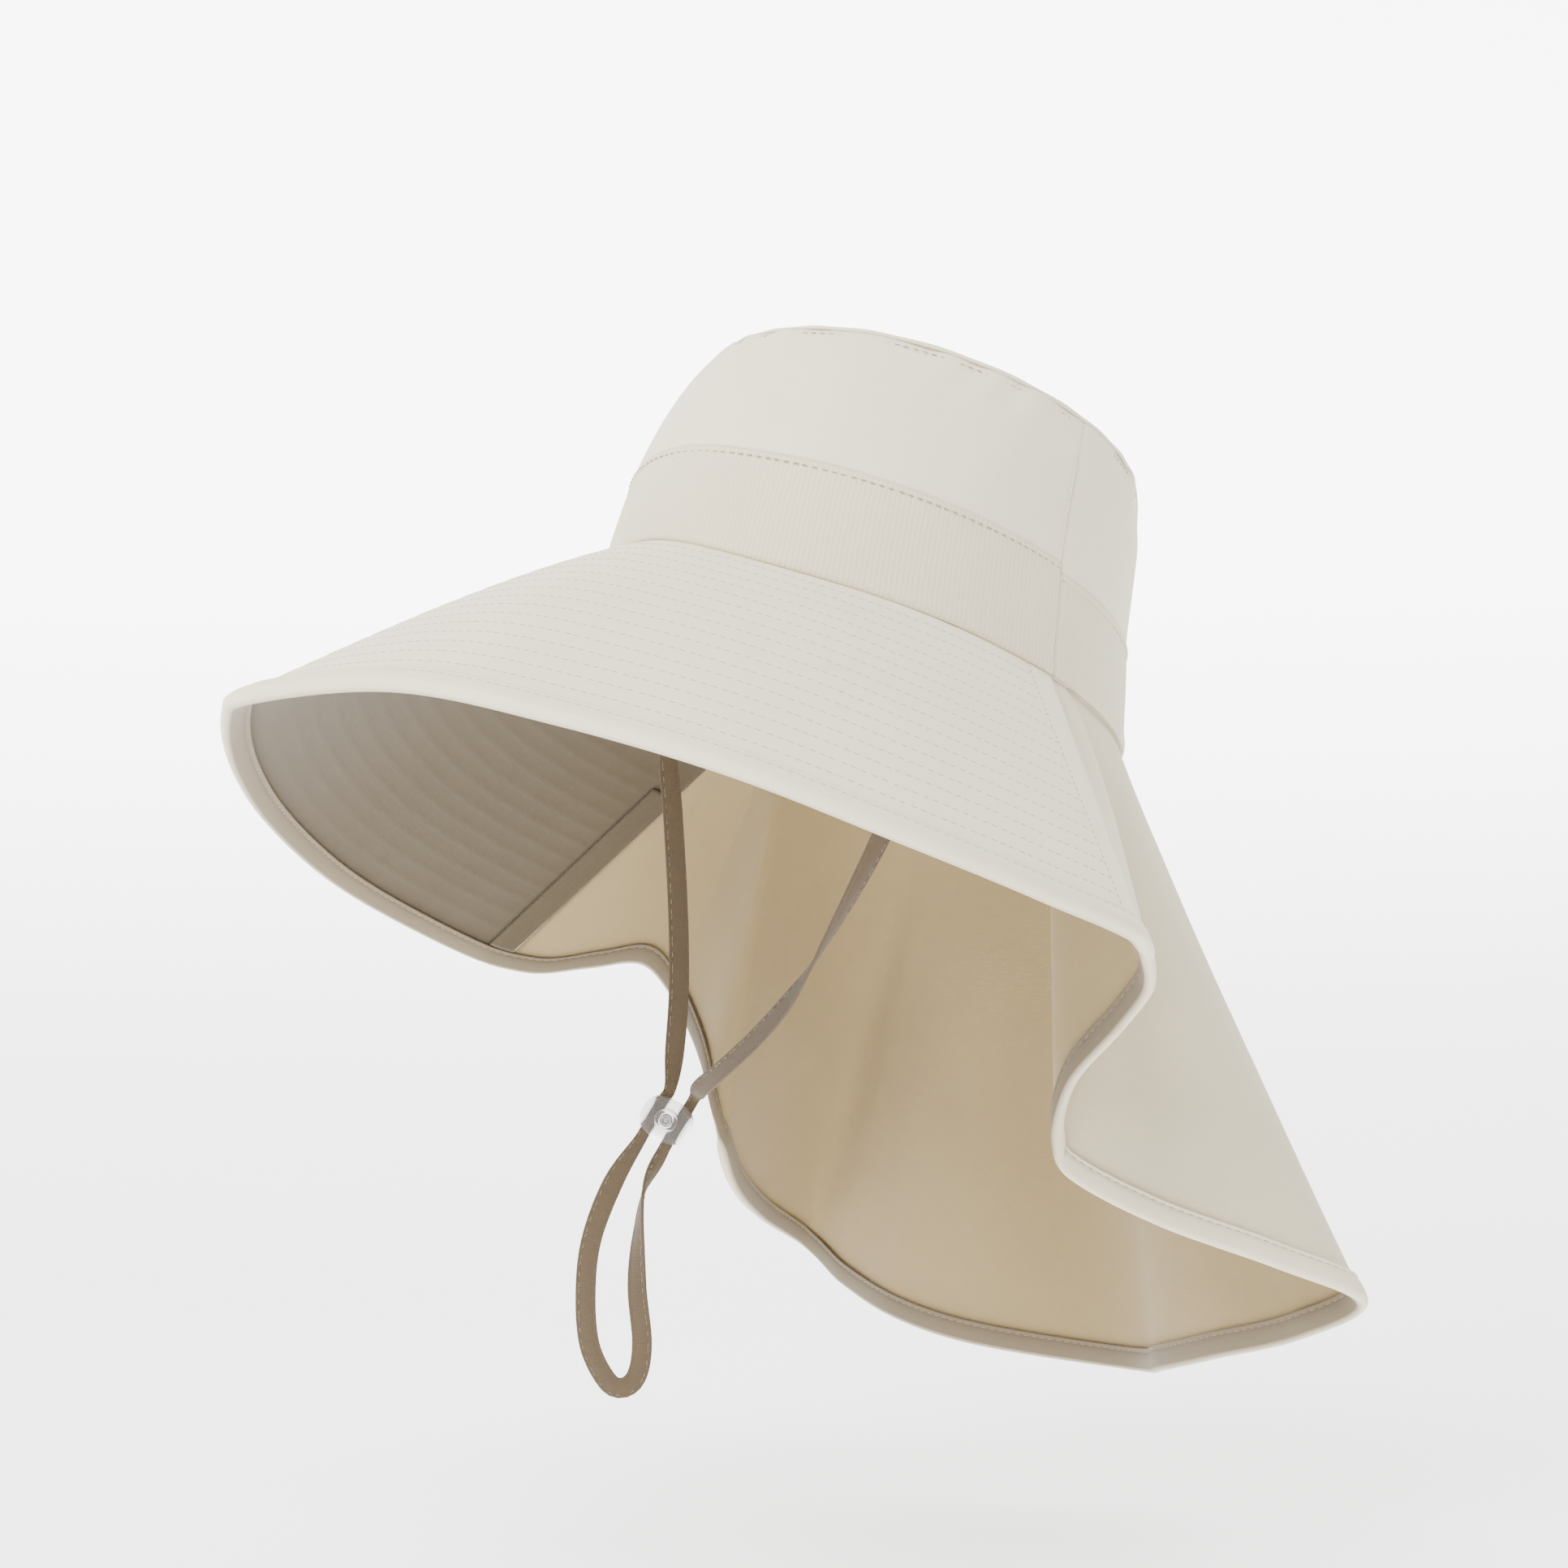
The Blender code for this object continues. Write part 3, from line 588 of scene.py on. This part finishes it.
def oval_point(height, angle, inset=0.0):
    """A point of the crown's wall before the tilt, in millimetres."""
    wide, long, shift = oval_sizes(round(height, 3))
    turn = math.radians(angle)
    share = height / CROWN_TOP
    near_front = max(math.cos(turn), 0.0) ** FRONT_SPREAD
    lift = near_front * (FRONT_RISE * (1.0 - share) ** 2 - FRONT_DROP * share**2)
    return Vector(((wide - inset) * math.sin(turn), shift - (long - inset) * math.cos(turn),
                   height + lift))


def wall(angle, height):
    """A point of the crown's wall on the tilted hat, in metres."""
    return TILT @ oval_point(height, angle) * MM


ARC = 0.0925 * math.pi / 180     # metres of wall per degree, for the UV maps


def soft(place, scale, size):
    """A broad gentle unevenness, in metres."""
    return noise.noise(place * scale) * size


# %% [markdown]
# ## The crown's side panels
#
# Two panels make the wall above the band, and they are seamed at the sides. Their upper edge is
# drawn in by the seam round the top, which leaves shallow puckers below it. The band is
# a separate strip, folded under at its lower edge, where it stands over the brim as a lip.

# %% Make the crown panels
SEAM_GAP = 0.12         # degrees between two panels at a side seam
TOP_STOP = 1.3


def panel_ends(ending):
    if ending == "front":
        return -SIDE_SEAM + SEAM_GAP, SIDE_SEAM - SEAM_GAP
    return SIDE_SEAM + SEAM_GAP, 360.0 - SIDE_SEAM - SEAM_GAP


def bell(at, middle, width):
    return math.exp(-((at - middle) / width) ** 2)


def seam_dip(angle):
    """One at a side seam and nothing a few millimetres from it."""
    off = abs(abs((angle + 180.0) % 360.0 - 180.0) - SIDE_SEAM)
    return bell(off, 0.0, 0.8)


def make_crown_panel(ending):
    start, stop = panel_ends(ending)
    low, high = BAND_TOP[ending] + 0.2, CROWN_TOP - TOP_STOP

    def place(u, v):
        angle, height = start + (stop - start) * u, low + (high - low) * v
        return wall(angle, height), (angle * ARC, height * MM)

    def relief(u, v):
        angle, height = start + (stop - start) * u, low + (high - low) * v
        below_top = CROWN_TOP - height
        pucker = math.sin(math.radians(angle) * 21 + 2.2 * math.sin(math.radians(angle) * 5)
                          + below_top * 0.10)
        gather = 0.60 * pucker * math.exp(-below_top / 13.0)
        seam = -0.55 * bell(below_top, 1.0, 2.2) - 0.5 * bell(height, low, 1.3)
        side = -0.55 * seam_dip(angle)
        return (gather + seam + side) * MM + soft(wall(angle, height), 22.0, 0.9 * MM)

    bm = shaped_grid(190 if ending == "front" else 150, 40, place, relief)
    return make_piece("crown_" + ending + "_cloth", bm, [cream_cotton],
                      ["crown_" + ending], CROWN_CLOTH)


BAND_STITCH = 2.2       # the stitch line's distance below the band's top


def make_band(ending):
    start, stop = panel_ends(ending)
    high = BAND_TOP[ending] - 0.1

    def place(u, v):
        angle, height = start + (stop - start) * u, high * v
        return wall(angle, height), (angle * ARC, height * MM)

    def relief(u, v):
        angle, height = start + (stop - start) * u, high * v
        lip = 0.55 * bell(height, 2.0, 3.0) - 0.6 * bell(height, 0.0, 0.7)
        ridge = 0.45 * bell(high - height, 0.9, 0.9) - 0.4 * bell(high - height, 0.0, 0.4)
        groove = -0.30 * bell(high - height, BAND_STITCH, 0.5)
        side = -0.5 * seam_dip(angle)
        return (lip + ridge + groove + side) * MM + soft(wall(angle, height), 26.0, 0.7 * MM)

    bm = shaped_grid(260 if ending == "front" else 200, 44, place, relief)
    return make_piece("band_" + ending + "_cloth", bm, [ribbed_cotton],
                      ["band_" + ending], CROWN_CLOTH)


for ending in ("front", "back"):
    make_crown_panel(ending)
    make_band(ending)

# %% [markdown]
# ## The crown's top
#
# The top is an oval of cloth, seamed to the wall all round. A grid can be rolled into a disc:
# one way runs round the oval and the other from its middle to its edge.

# %% Make the top
TIP_RISE = 2.4
TIP_EDGE = 0.9          # the share of the rows before the edge turns down


def tip_place(u, v):
    if v < TIP_EDGE:
        share = 0.985 * v / TIP_EDGE
        rise = 1.0 + TIP_RISE * (1.0 - share**2)
    else:
        roll = (v - TIP_EDGE) / (1.0 - TIP_EDGE) * math.pi / 2
        share = 0.985 + 0.018 * math.sin(roll)
        rise = 1.0 * math.cos(roll) - 0.6 * (1.0 - math.cos(roll))
    middle = Vector((0.0, CROWN[-1].shift, CROWN_TOP))
    edge = oval_point(CROWN_TOP, 360.0 * u, inset=-0.7)
    local = middle + (edge - middle) * share + Vector((0.0, 0.0, rise))
    return TILT @ local * MM, (local.x * MM, local.y * MM)


def tip_relief(u, v):
    """Puckers that fade from the seam, and a small dip where it is stitched."""
    near = math.exp(-(1.0 - v) / 0.12)
    pucker = math.sin(math.radians(360.0 * u) * 24 + 2 * math.sin(math.radians(360.0 * u) * 3))
    return (0.25 * pucker * near - 0.3 * bell(v, 0.86, 0.03)) * MM


bm = shaped_grid(160, 40, tip_place, tip_relief)
bmesh.ops.remove_doubles(bm, verts=bm.verts, dist=1e-6)
bmesh.ops.recalc_face_normals(bm, faces=bm.faces)
upward = sum((face.normal.z * face.calc_area() for face in bm.faces), 0.0)
if upward < 0.0:
    bmesh.ops.reverse_faces(bm, faces=bm.faces)
make_piece("crown_top_cloth", bm, [cream_cotton], ["crown_tip"], 1.2 * MM, -1.0)

# %% [markdown]
# ## The form of brim and flap
#
# Brim and flap share one long lower edge. A row for each angle round the hat gives the edge's
# distance and height, where the cloth there leaves the crown, and how far it bows out on the
# way. In the flap the edge goes in and out again, which makes its deep fold at each side.

# %% The lower edge
Hem = namedtuple("Hem", "angle radius height seam_angle bow")
HEM = [
    Hem(0.0, 219.0, -95.2, 0.0, 4.0),
    Hem(15.0, 208.6, -89.8, 16.5, 4.5),
    Hem(30.0, 199.4, -92.8, 33.0, 4.5),
    Hem(45.0, 193.4, -96.9, 49.5, 3.5),
    Hem(60.0, 187.2, -101.6, 65.5, 2.0),
    Hem(75.0, 182.3, -103.6, 81.0, 0.8),
    Hem(85.2, 181.4, -104.1, 93.0, 0.0),     # inner edge of the seam's facing
    Hem(88.0, 176.8, -104.6, 98.9, 0.0),     # seam between brim and flap
    Hem(92.0, 167.2, -103.3, 100.0, 1.0),
    Hem(97.0, 153.2, -96.7, 101.4, 3.0),
    Hem(103.0, 140.5, -90.6, 103.0, 4.0),
    Hem(109.0, 136.8, -99.4, 104.2, 3.0),
    Hem(112.0, 127.0, -111.0, 104.7, 0.0),
    Hem(115.5, 112.7, -127.5, 105.6, -2.0),
    Hem(118.0, 108.6, -139.4, 106.3, -3.0),
    Hem(120.5, 108.9, -149.5, 107.2, -4.0),  # bottom of the inward fold
    Hem(123.0, 113.9, -157.5, 110.0, -4.0),
    Hem(127.0, 144.3, -165.4, 118.5, -2.0),
    Hem(131.0, 182.0, -168.9, 129.0, 0.0),
    Hem(136.0, 211.5, -172.0, 140.0, -1.5),  # outer corner of the flap
    Hem(142.0, 197.5, -184.5, 147.0, -1.0),
    Hem(151.0, 177.0, -195.0, 155.0, 0.0),
    Hem(163.0, 174.5, -199.5, 165.0, 0.0),
    Hem(180.0, 200.0, -196.0, 180.0, 0.0),   # middle of the back
]
BRIM_SEAM = 88.0
HEM_MARGIN = 3.2
BOW_LEAN = 0.7
SKIRT_INSET = 0.9
SKIRT_DROP = 1.3


def hem_point(angle):
    radius = read_table(HEM, "angle", "radius", angle)
    turn = math.radians(angle)
    return Vector((radius * math.sin(turn), -radius * math.cos(turn),
                   read_table(HEM, "angle", "height", angle)))


@functools.lru_cache(maxsize=None)
def hem_run(angle):
    """The line down the cloth to the edge at an angle on the left half."""
    top = oval_point(0.0, read_table(HEM, "angle", "seam_angle", angle), SKIRT_INSET)
    top.z -= SKIRT_DROP
    run = hem_point(angle) - top
    along = run.normalized()
    stand_way = (Vector((0.0, 0.0, 1.0)) - along * along.z).normalized()
    return top, along, run.length + HEM_MARGIN, stand_way, read_table(HEM, "angle", "bow", angle)


def skirt(angle, share):
    """A point of brim or flap in metres; a negative angle is on the wearer's right."""
    top, along, length, stand_way, bow = hem_run(round(abs(angle), 5))
    stand = bow * math.sin(math.pi * max(share, 0.0) ** BOW_LEAN)
    local = top + along * (length * share) + stand_way * stand
    if angle < 0.0:
        local.x = -local.x
    return TILT @ local * MM


def run_length(angle):
    return hem_run(round(abs(angle), 5))[2] * MM


BEND_WEIGHT = 14.0


def even_angles(start, stop, count):
    """Angles along the edge, closer together where it bends."""
    last = 600
    fine = [start + (stop - start) * i / last for i in range(last + 1)]
    points = [hem_point(angle) for angle in fine]
    walked = [0.0]
    for i in range(1, last + 1):
        step = points[i] - points[i - 1]
        ahead = points[min(i + 1, last)] - points[i]
        bend = step.angle(ahead) if ahead.length > 0.0 else 0.0
        walked.append(walked[-1] + step.length + BEND_WEIGHT * bend)
    picked = []
    for k in range(count):
        target = walked[-1] * k / (count - 1)
        i = min(bisect.bisect_right(walked, target) - 1, last - 1)
        share = (target - walked[i]) / (walked[i + 1] - walked[i])
        picked.append(fine[i] + (fine[i + 1] - fine[i]) * share)
    return picked


def measured(angles, share):
    """The distance walked round the cloth to each angle, in metres."""
    walked = [0.0]
    for one, two in zip(angles, angles[1:]):
        walked.append(walked[-1] + (skirt(two, share) - skirt(one, share)).length)
    return walked


# %% [markdown]
# ## The quilted brim
#
# Rows of stitching hold the brim's layers together, and the cloth swells a little between
# them. The rows follow the edge. At each end the brim is folded under and stitched once more
# down its length, which leaves a flat strip before the folded edge.

# %% Make the brim
BRIM_CLOTH = 2.4 * MM
QUILT_ROWS = 17
QUILT_DEPTH = 0.24
BRIM_HALF = 120
half = even_angles(0.0, BRIM_SEAM - 0.1, BRIM_HALF + 1)
brim_angles = [-angle for angle in reversed(half)] + half[1:]
brim_walk = measured(brim_angles, 0.6)
END_STITCH = 84.6       # hem angle of the stitch line down each end


def brim_place(u, v):
    i = round(u * BRIM_HALF * 2)
    share = 1.0 - v
    return skirt(brim_angles[i], share), (brim_walk[i], share * run_length(brim_angles[i]))


def brim_relief(u, v):
    angle = abs(brim_angles[round(u * BRIM_HALF * 2)])
    row = (1.0 - v) * (QUILT_ROWS + 1.0)
    off_row = abs(row - round(row)) if 0.5 < row < QUILT_ROWS + 0.5 else 0.5
    quilted = 1.0 if angle < END_STITCH else 0.0
    groove = -QUILT_DEPTH * bell(off_row, 0.0, 0.16) * quilted
    end_line = -0.4 * bell(angle, END_STITCH, 0.35)
    strip = 0.25 if angle > END_STITCH else 0.0
    return (groove + end_line + strip) * MM


bm = shaped_grid(BRIM_HALF * 2, 126, brim_place, brim_relief)
# The brim's underside takes the second material: painted shade.
make_piece("brim_cloth", bm, [cream_cotton, under_painted_shade], ["brim"], BRIM_CLOTH)

# %% [markdown]
# ## The neck flap
#
# The flap is one layer of soft cotton. It has no stitching of its own, so its look comes from
# its folds and from light that turns warm on its inner side. That shade and warm light are
# painted into the colour of the inner side. Solidify can give the inner side a material of
# its own, which is used here.

# %% Make the flap
FLAP_CLOTH = 1.4 * MM
FLAP_HALF = 150
half = even_angles(BRIM_SEAM + 0.1, 180.0, FLAP_HALF + 1)
flap_angles = half + [-angle for angle in reversed(half)][1:]
flap_walk = measured(flap_angles, 0.6)


def flap_place(u, v):
    i = round(u * FLAP_HALF * 2)
    share = 1.0 - v
    return skirt(flap_angles[i], share), (flap_walk[i], share * run_length(flap_angles[i]))


def flap_relief(u, v):
    """Soft unevenness, strongest in the middle of the cloth."""
    i = round(u * FLAP_HALF * 2)
    spot = skirt(flap_angles[i], 1.0 - v)
    return soft(spot, 16.0, 1.3 * MM) * math.sin(math.pi * v) ** 0.5


bm = shaped_grid(FLAP_HALF * 2, 60, flap_place, flap_relief)
flap_area = sum(face.calc_area() for face in bm.faces)
# The outer material is a darker copy of the cloth and the inner one a darker, warmer copy: both hold painted
# shade, the inner one painted warm light too.
neck_flap = make_piece("flap_cloth", bm, [flap_cotton, inside_painted_shade], ["neck_flap"],
                       FLAP_CLOTH)
print("flap area in square metres:", round(flap_area, 4), "hem", round(measured(flap_angles, 1.0)[-1], 3),
      "top", round(measured(flap_angles, 0.0)[-1], 3))

# %% [markdown]
# ## The binding
#
# A strip of cloth is folded over the whole lower edge and stitched through. The fold makes it
# plump, and the stitching pinches it, so its section is a U that bulges between the nose
# and the stitches.

# %% Make the binding
BINDING_WIDTH = 7.5
BINDING_CLOTH = 0.8
BINDING_SLACK = 0.6
BINDING_NOSE = 1.4
BINDING_STITCH = 6.0
NOSE_SHARE = 0.16       # the part of the section that goes round the nose
BINDING_SIDES = 36
whole = brim_angles + flap_angles
binding_angles = whole + [whole[0]]
binding_walk = measured(binding_angles, 1.0)


def cross_frame(angle):
    """The cloth's edge, the way into the cloth and its outward normal at an angle."""
    edge = skirt(angle, 1.0)
    inward = (skirt(angle, 0.95) - edge).normalized()
    reach = 0.4
    lower, upper = angle - reach, angle + reach
    if angle < 0.0 < upper or lower < 0.0 < angle:
        lower, upper = -reach, reach
    if abs(lower) > 180.0 or abs(upper) > 180.0:
        sweep = skirt(-179.6, 1.0) - skirt(179.6, 1.0)
    else:
        sweep = skirt(upper, 1.0) - skirt(lower, 1.0)
    normal = sweep.cross(inward).normalized()
    return edge, inward, normal


binding_frames = [cross_frame(angle) for angle in binding_angles]


def half_thickness(angle):
    """Half of what the binding folds over, from the thick brim to the thin flap."""
    share = min(max((abs(angle) - BRIM_SEAM + 2.0) / 4.0, 0.0), 1.0)
    cloth = 2.4 + (1.4 - 2.4) * share
    return cloth / 2 + BINDING_SLACK + BINDING_CLOTH / 2


def binding_section(v, thick):
    """(depth, side) of the strip's middle at a share of the way round its section."""
    side_part = (1.0 - NOSE_SHARE) / 2
    if v < side_part or v > 1.0 - side_part:
        depth = BINDING_WIDTH * (1.0 - min(v, 1.0 - v) / side_part)
        puff = 0.30 * math.sin(math.pi * min(depth / BINDING_STITCH, 1.0))
        pinch = -0.35 * bell(depth, BINDING_STITCH, 0.7)
        side = thick + puff + pinch
        return depth, side if v < 0.5 else -side
    turn = math.pi * (v - side_part) / NOSE_SHARE
    return -BINDING_NOSE * math.sin(turn), thick * math.cos(turn)


def binding_place(u, v):
    i = round(u * (len(binding_angles) - 1))
    edge, inward, normal = binding_frames[i]
    depth, side = binding_section(v, half_thickness(binding_angles[i]))
    spot = edge + inward * depth * MM + normal * side * MM
    return spot, (binding_walk[i], v * 0.019)


bm = shaped_grid(len(binding_angles) - 1, BINDING_SIDES, binding_place)
bmesh.ops.remove_doubles(bm, verts=bm.verts, dist=1e-6)
binding = make_piece("binding_cloth", bm, [binding_cotton], ["edge_binding"],
                     BINDING_CLOTH * MM)

# %% [markdown]
# ## The facings inside
#
# Inside, a narrow strip of cloth covers the seam between brim and flap on each side. It runs
# from under the band down to the binding.

# %% Make the facings
FACING = {"start": 84.9, "stop": 87.9, "low": 0.31, "high": 0.945, "offset": -1.9}


def make_facing(ending, sign):
    def place(u, v):
        angle = FACING["start"] + (FACING["stop"] - FACING["start"]) * (u if sign > 0 else 1.0 - u)
        share = FACING["high"] + (FACING["low"] - FACING["high"]) * v
        return skirt(sign * angle, share), (angle * ARC, share * run_length(angle))

    def relief(u, v):
        return (FACING["offset"] - 0.25 * math.sin(math.pi * u)) * MM

    bm = shaped_grid(10, 60, place, relief)
    # The facings take the painted shade of the brim's underside.
    make_piece("facing_" + ending, bm, [under_painted_shade], ["seam_facing_" + ending],
               0.8 * MM)


make_facing("left", 1.0)
make_facing("right", -1.0)

# %% [markdown]
# ## Seams and topstitching
#
# The seams are sewn with the helper from above. Each line is walked on the surface it holds,
# and its stitches are spaced by distance, as on a machine.

# %% Sew the seams
def stitch_line(surface, path, lift, flip=1.0, pitch=STITCH_PITCH):
    """(place, direction, normal) at even steps along a line on a surface."""
    steps = 700
    keys = [path(i / steps) for i in range(steps + 1)]
    points = [surface(*key) for key in keys]
    found = []
    due = pitch / 2
    walked = 0.0
    for i in range(steps):
        step = points[i + 1] - points[i]
        walked += step.length
        if walked < due or step.length == 0.0:
            continue
        due += pitch
        a, b = keys[i]
        across = surface(a, b + 0.01) - surface(a, b - 0.01)
        around = surface(a + 0.2, b) - surface(a - 0.2, b)
        normal = around.cross(across).normalized() * flip
        found.append((points[i] + normal * lift, step.normalized(), normal))
    return found


lift = CROWN_CLOTH / 2 + 0.05 * MM
crown_lines = []
for ending in ("front", "back"):
    start, stop = panel_ends(ending)
    high = BAND_TOP[ending] - 0.1 - BAND_STITCH
    crown_lines += stitch_line(wall, lambda t: (start + (stop - start) * t, high), lift)
    crown_lines += stitch_line(wall, lambda t: (start + (stop - start) * t, CROWN_TOP - 3.6), lift - 0.3 * MM)
sew("crown_stitches", crown_lines, pale_thread)
side_lines = []
for sign in (1.0, -1.0):
    side_lines += stitch_line(wall, lambda t: (sign * (SIDE_SEAM - 1.2), 2.0 + (CROWN_TOP - 5.0) * t),
                              lift + 0.05 * MM)
sew("side_stitches", side_lines, bright_thread)

# %% Sew the brim
def brim_line(share, span):
    return lambda t: (-span + 2 * span * t, share)


brim_lift = BRIM_CLOTH / 2 - 0.25 * MM
rows = []
for row in range(1, QUILT_ROWS + 1):
    share = row / (QUILT_ROWS + 1.0)
    upper = stitch_line(skirt, brim_line(share, END_STITCH), brim_lift, -1.0)
    rows += upper
    rows += [(place - normal * brim_lift * 2, along, -normal) for place, along, normal in upper]
sew("quilt_stitches", rows, pale_thread, width=0.42 * MM)
ends = []
for sign in (1.0, -1.0):
    ends += stitch_line(skirt, lambda t: (sign * END_STITCH, 0.03 + 0.9 * t), brim_lift + 0.05 * MM, -1.0)
sew("end_stitches", ends, pale_thread)

# %% Sew the binding
def binding_stitches():
    """Stitches on both faces of the binding, near its inner edge."""
    spots = []
    due = STITCH_PITCH / 2
    for i in range(len(binding_angles) - 1):
        edge, inward, normal = binding_frames[i]
        ahead = binding_frames[i + 1]
        span = binding_walk[i + 1] - binding_walk[i]
        while due <= binding_walk[i + 1] and span > 0.0:
            share = (due - binding_walk[i]) / span
            thick = half_thickness(binding_angles[i]) - 0.35 + BINDING_CLOTH / 2
            for way in (1.0, -1.0):
                here = edge + inward * BINDING_STITCH * MM + normal * thick * MM * way
                there = ahead[0] + ahead[1] * BINDING_STITCH * MM + ahead[2] * thick * MM * way
                along = (there - here).normalized()
                spots.append((here.lerp(there, share), along, normal * way))
            due += STITCH_PITCH
    return spots


sew("binding_stitches", binding_stitches(), pale_thread, width=0.45 * MM)

# %% [markdown]
# ## Floor, backdrop and light
#
# The hat hangs over a pale floor that sweeps up into a wall, so no horizon shows. The
# light is that of a studio tent: a bright even sky, a large soft lamp in front and above, and
# a weaker one to the side to draw the folds.

# %% Make the stage
FLOOR = -0.30
GLOW_LOW = 1.4          # the paper is lit from behind, more so where it stands up
GLOW_HIGH = 6.5
bm = bmesh.new()
SWEEP = [(-2.5, 0.0), (1.6, 0.0), (2.1, 0.12), (2.4, 0.5), (2.5, 1.1), (2.5, 3.2)]
points = [bm.verts.new((-3.5, y, FLOOR + z)) for y, z in SWEEP]
edges = [bm.edges.new(pair) for pair in zip(points, points[1:])]
grown = bmesh.ops.extrude_edge_only(bm, edges=edges)
far = [item for item in grown["geom"] if isinstance(item, bmesh.types.BMVert)]
bmesh.ops.translate(bm, vec=(7.0, 0.0, 0.0), verts=far)
bmesh.ops.rotate(bm, cent=(0.0, 0.0, 0.0), matrix=Matrix.Rotation(CAMERA_AROUND, 3, "Z"), verts=bm.verts)
bmesh.ops.recalc_face_normals(bm, faces=bm.faces)
mesh = bpy.data.meshes.new("stage")
bm.to_mesh(mesh)
bm.free()
for polygon in mesh.polygons:
    polygon.use_smooth = True
paper, tree, shader = new_material("paper", 0.9)
shader.inputs["Base Color"].default_value = (0.86, 0.86, 0.86, 1.0)
shader.inputs["Emission Color"].default_value = (1.0, 1.0, 1.0, 1.0)
coordinates = tree.nodes.new("ShaderNodeTexCoord")
axes = tree.nodes.new("ShaderNodeSeparateXYZ")
link(tree, coordinates, "Object", axes, 0)
glow = tree.nodes.new("ShaderNodeMapRange")
glow.inputs["From Min"].default_value = FLOOR
glow.inputs["From Max"].default_value = FLOOR + 0.7
glow.inputs["To Min"].default_value = GLOW_LOW
glow.inputs["To Max"].default_value = GLOW_HIGH
link(tree, axes, "Z", glow, "Value")
link(tree, glow, "Result", shader, "Emission Strength")
mesh.materials.append(paper)
stage = bpy.data.objects.new("stage", mesh)
bpy.context.scene.collection.objects.link(stage)

# %% Light it
world = bpy.data.worlds.new("tent")
bpy.context.scene.world = world
world.use_nodes = True
world.node_tree.nodes["Background"].inputs["Color"].default_value = (1.0, 0.99, 0.975, 1.0)
world.node_tree.nodes["Background"].inputs["Strength"].default_value = 0.7


def lamp(name, place, size, power, colour=(1.0, 1.0, 1.0)):
    """A square area lamp that points at the hat."""
    data = bpy.data.lights.new(name, "AREA")
    data.size = size
    data.energy = power
    data.color = colour
    made = bpy.data.objects.new(name, data)
    bpy.context.scene.collection.objects.link(made)
    place = Vector(place)
    made.location = place
    made.rotation_euler = (-place).to_track_quat("-Z", "Y").to_euler()
    return made


lamp("key", spot + up * 1.5 - right * 0.9, 1.6, 110.0)
lamp("side", right * 2.0 + up * 0.8 + back * 0.2, 1.0, 8.0)
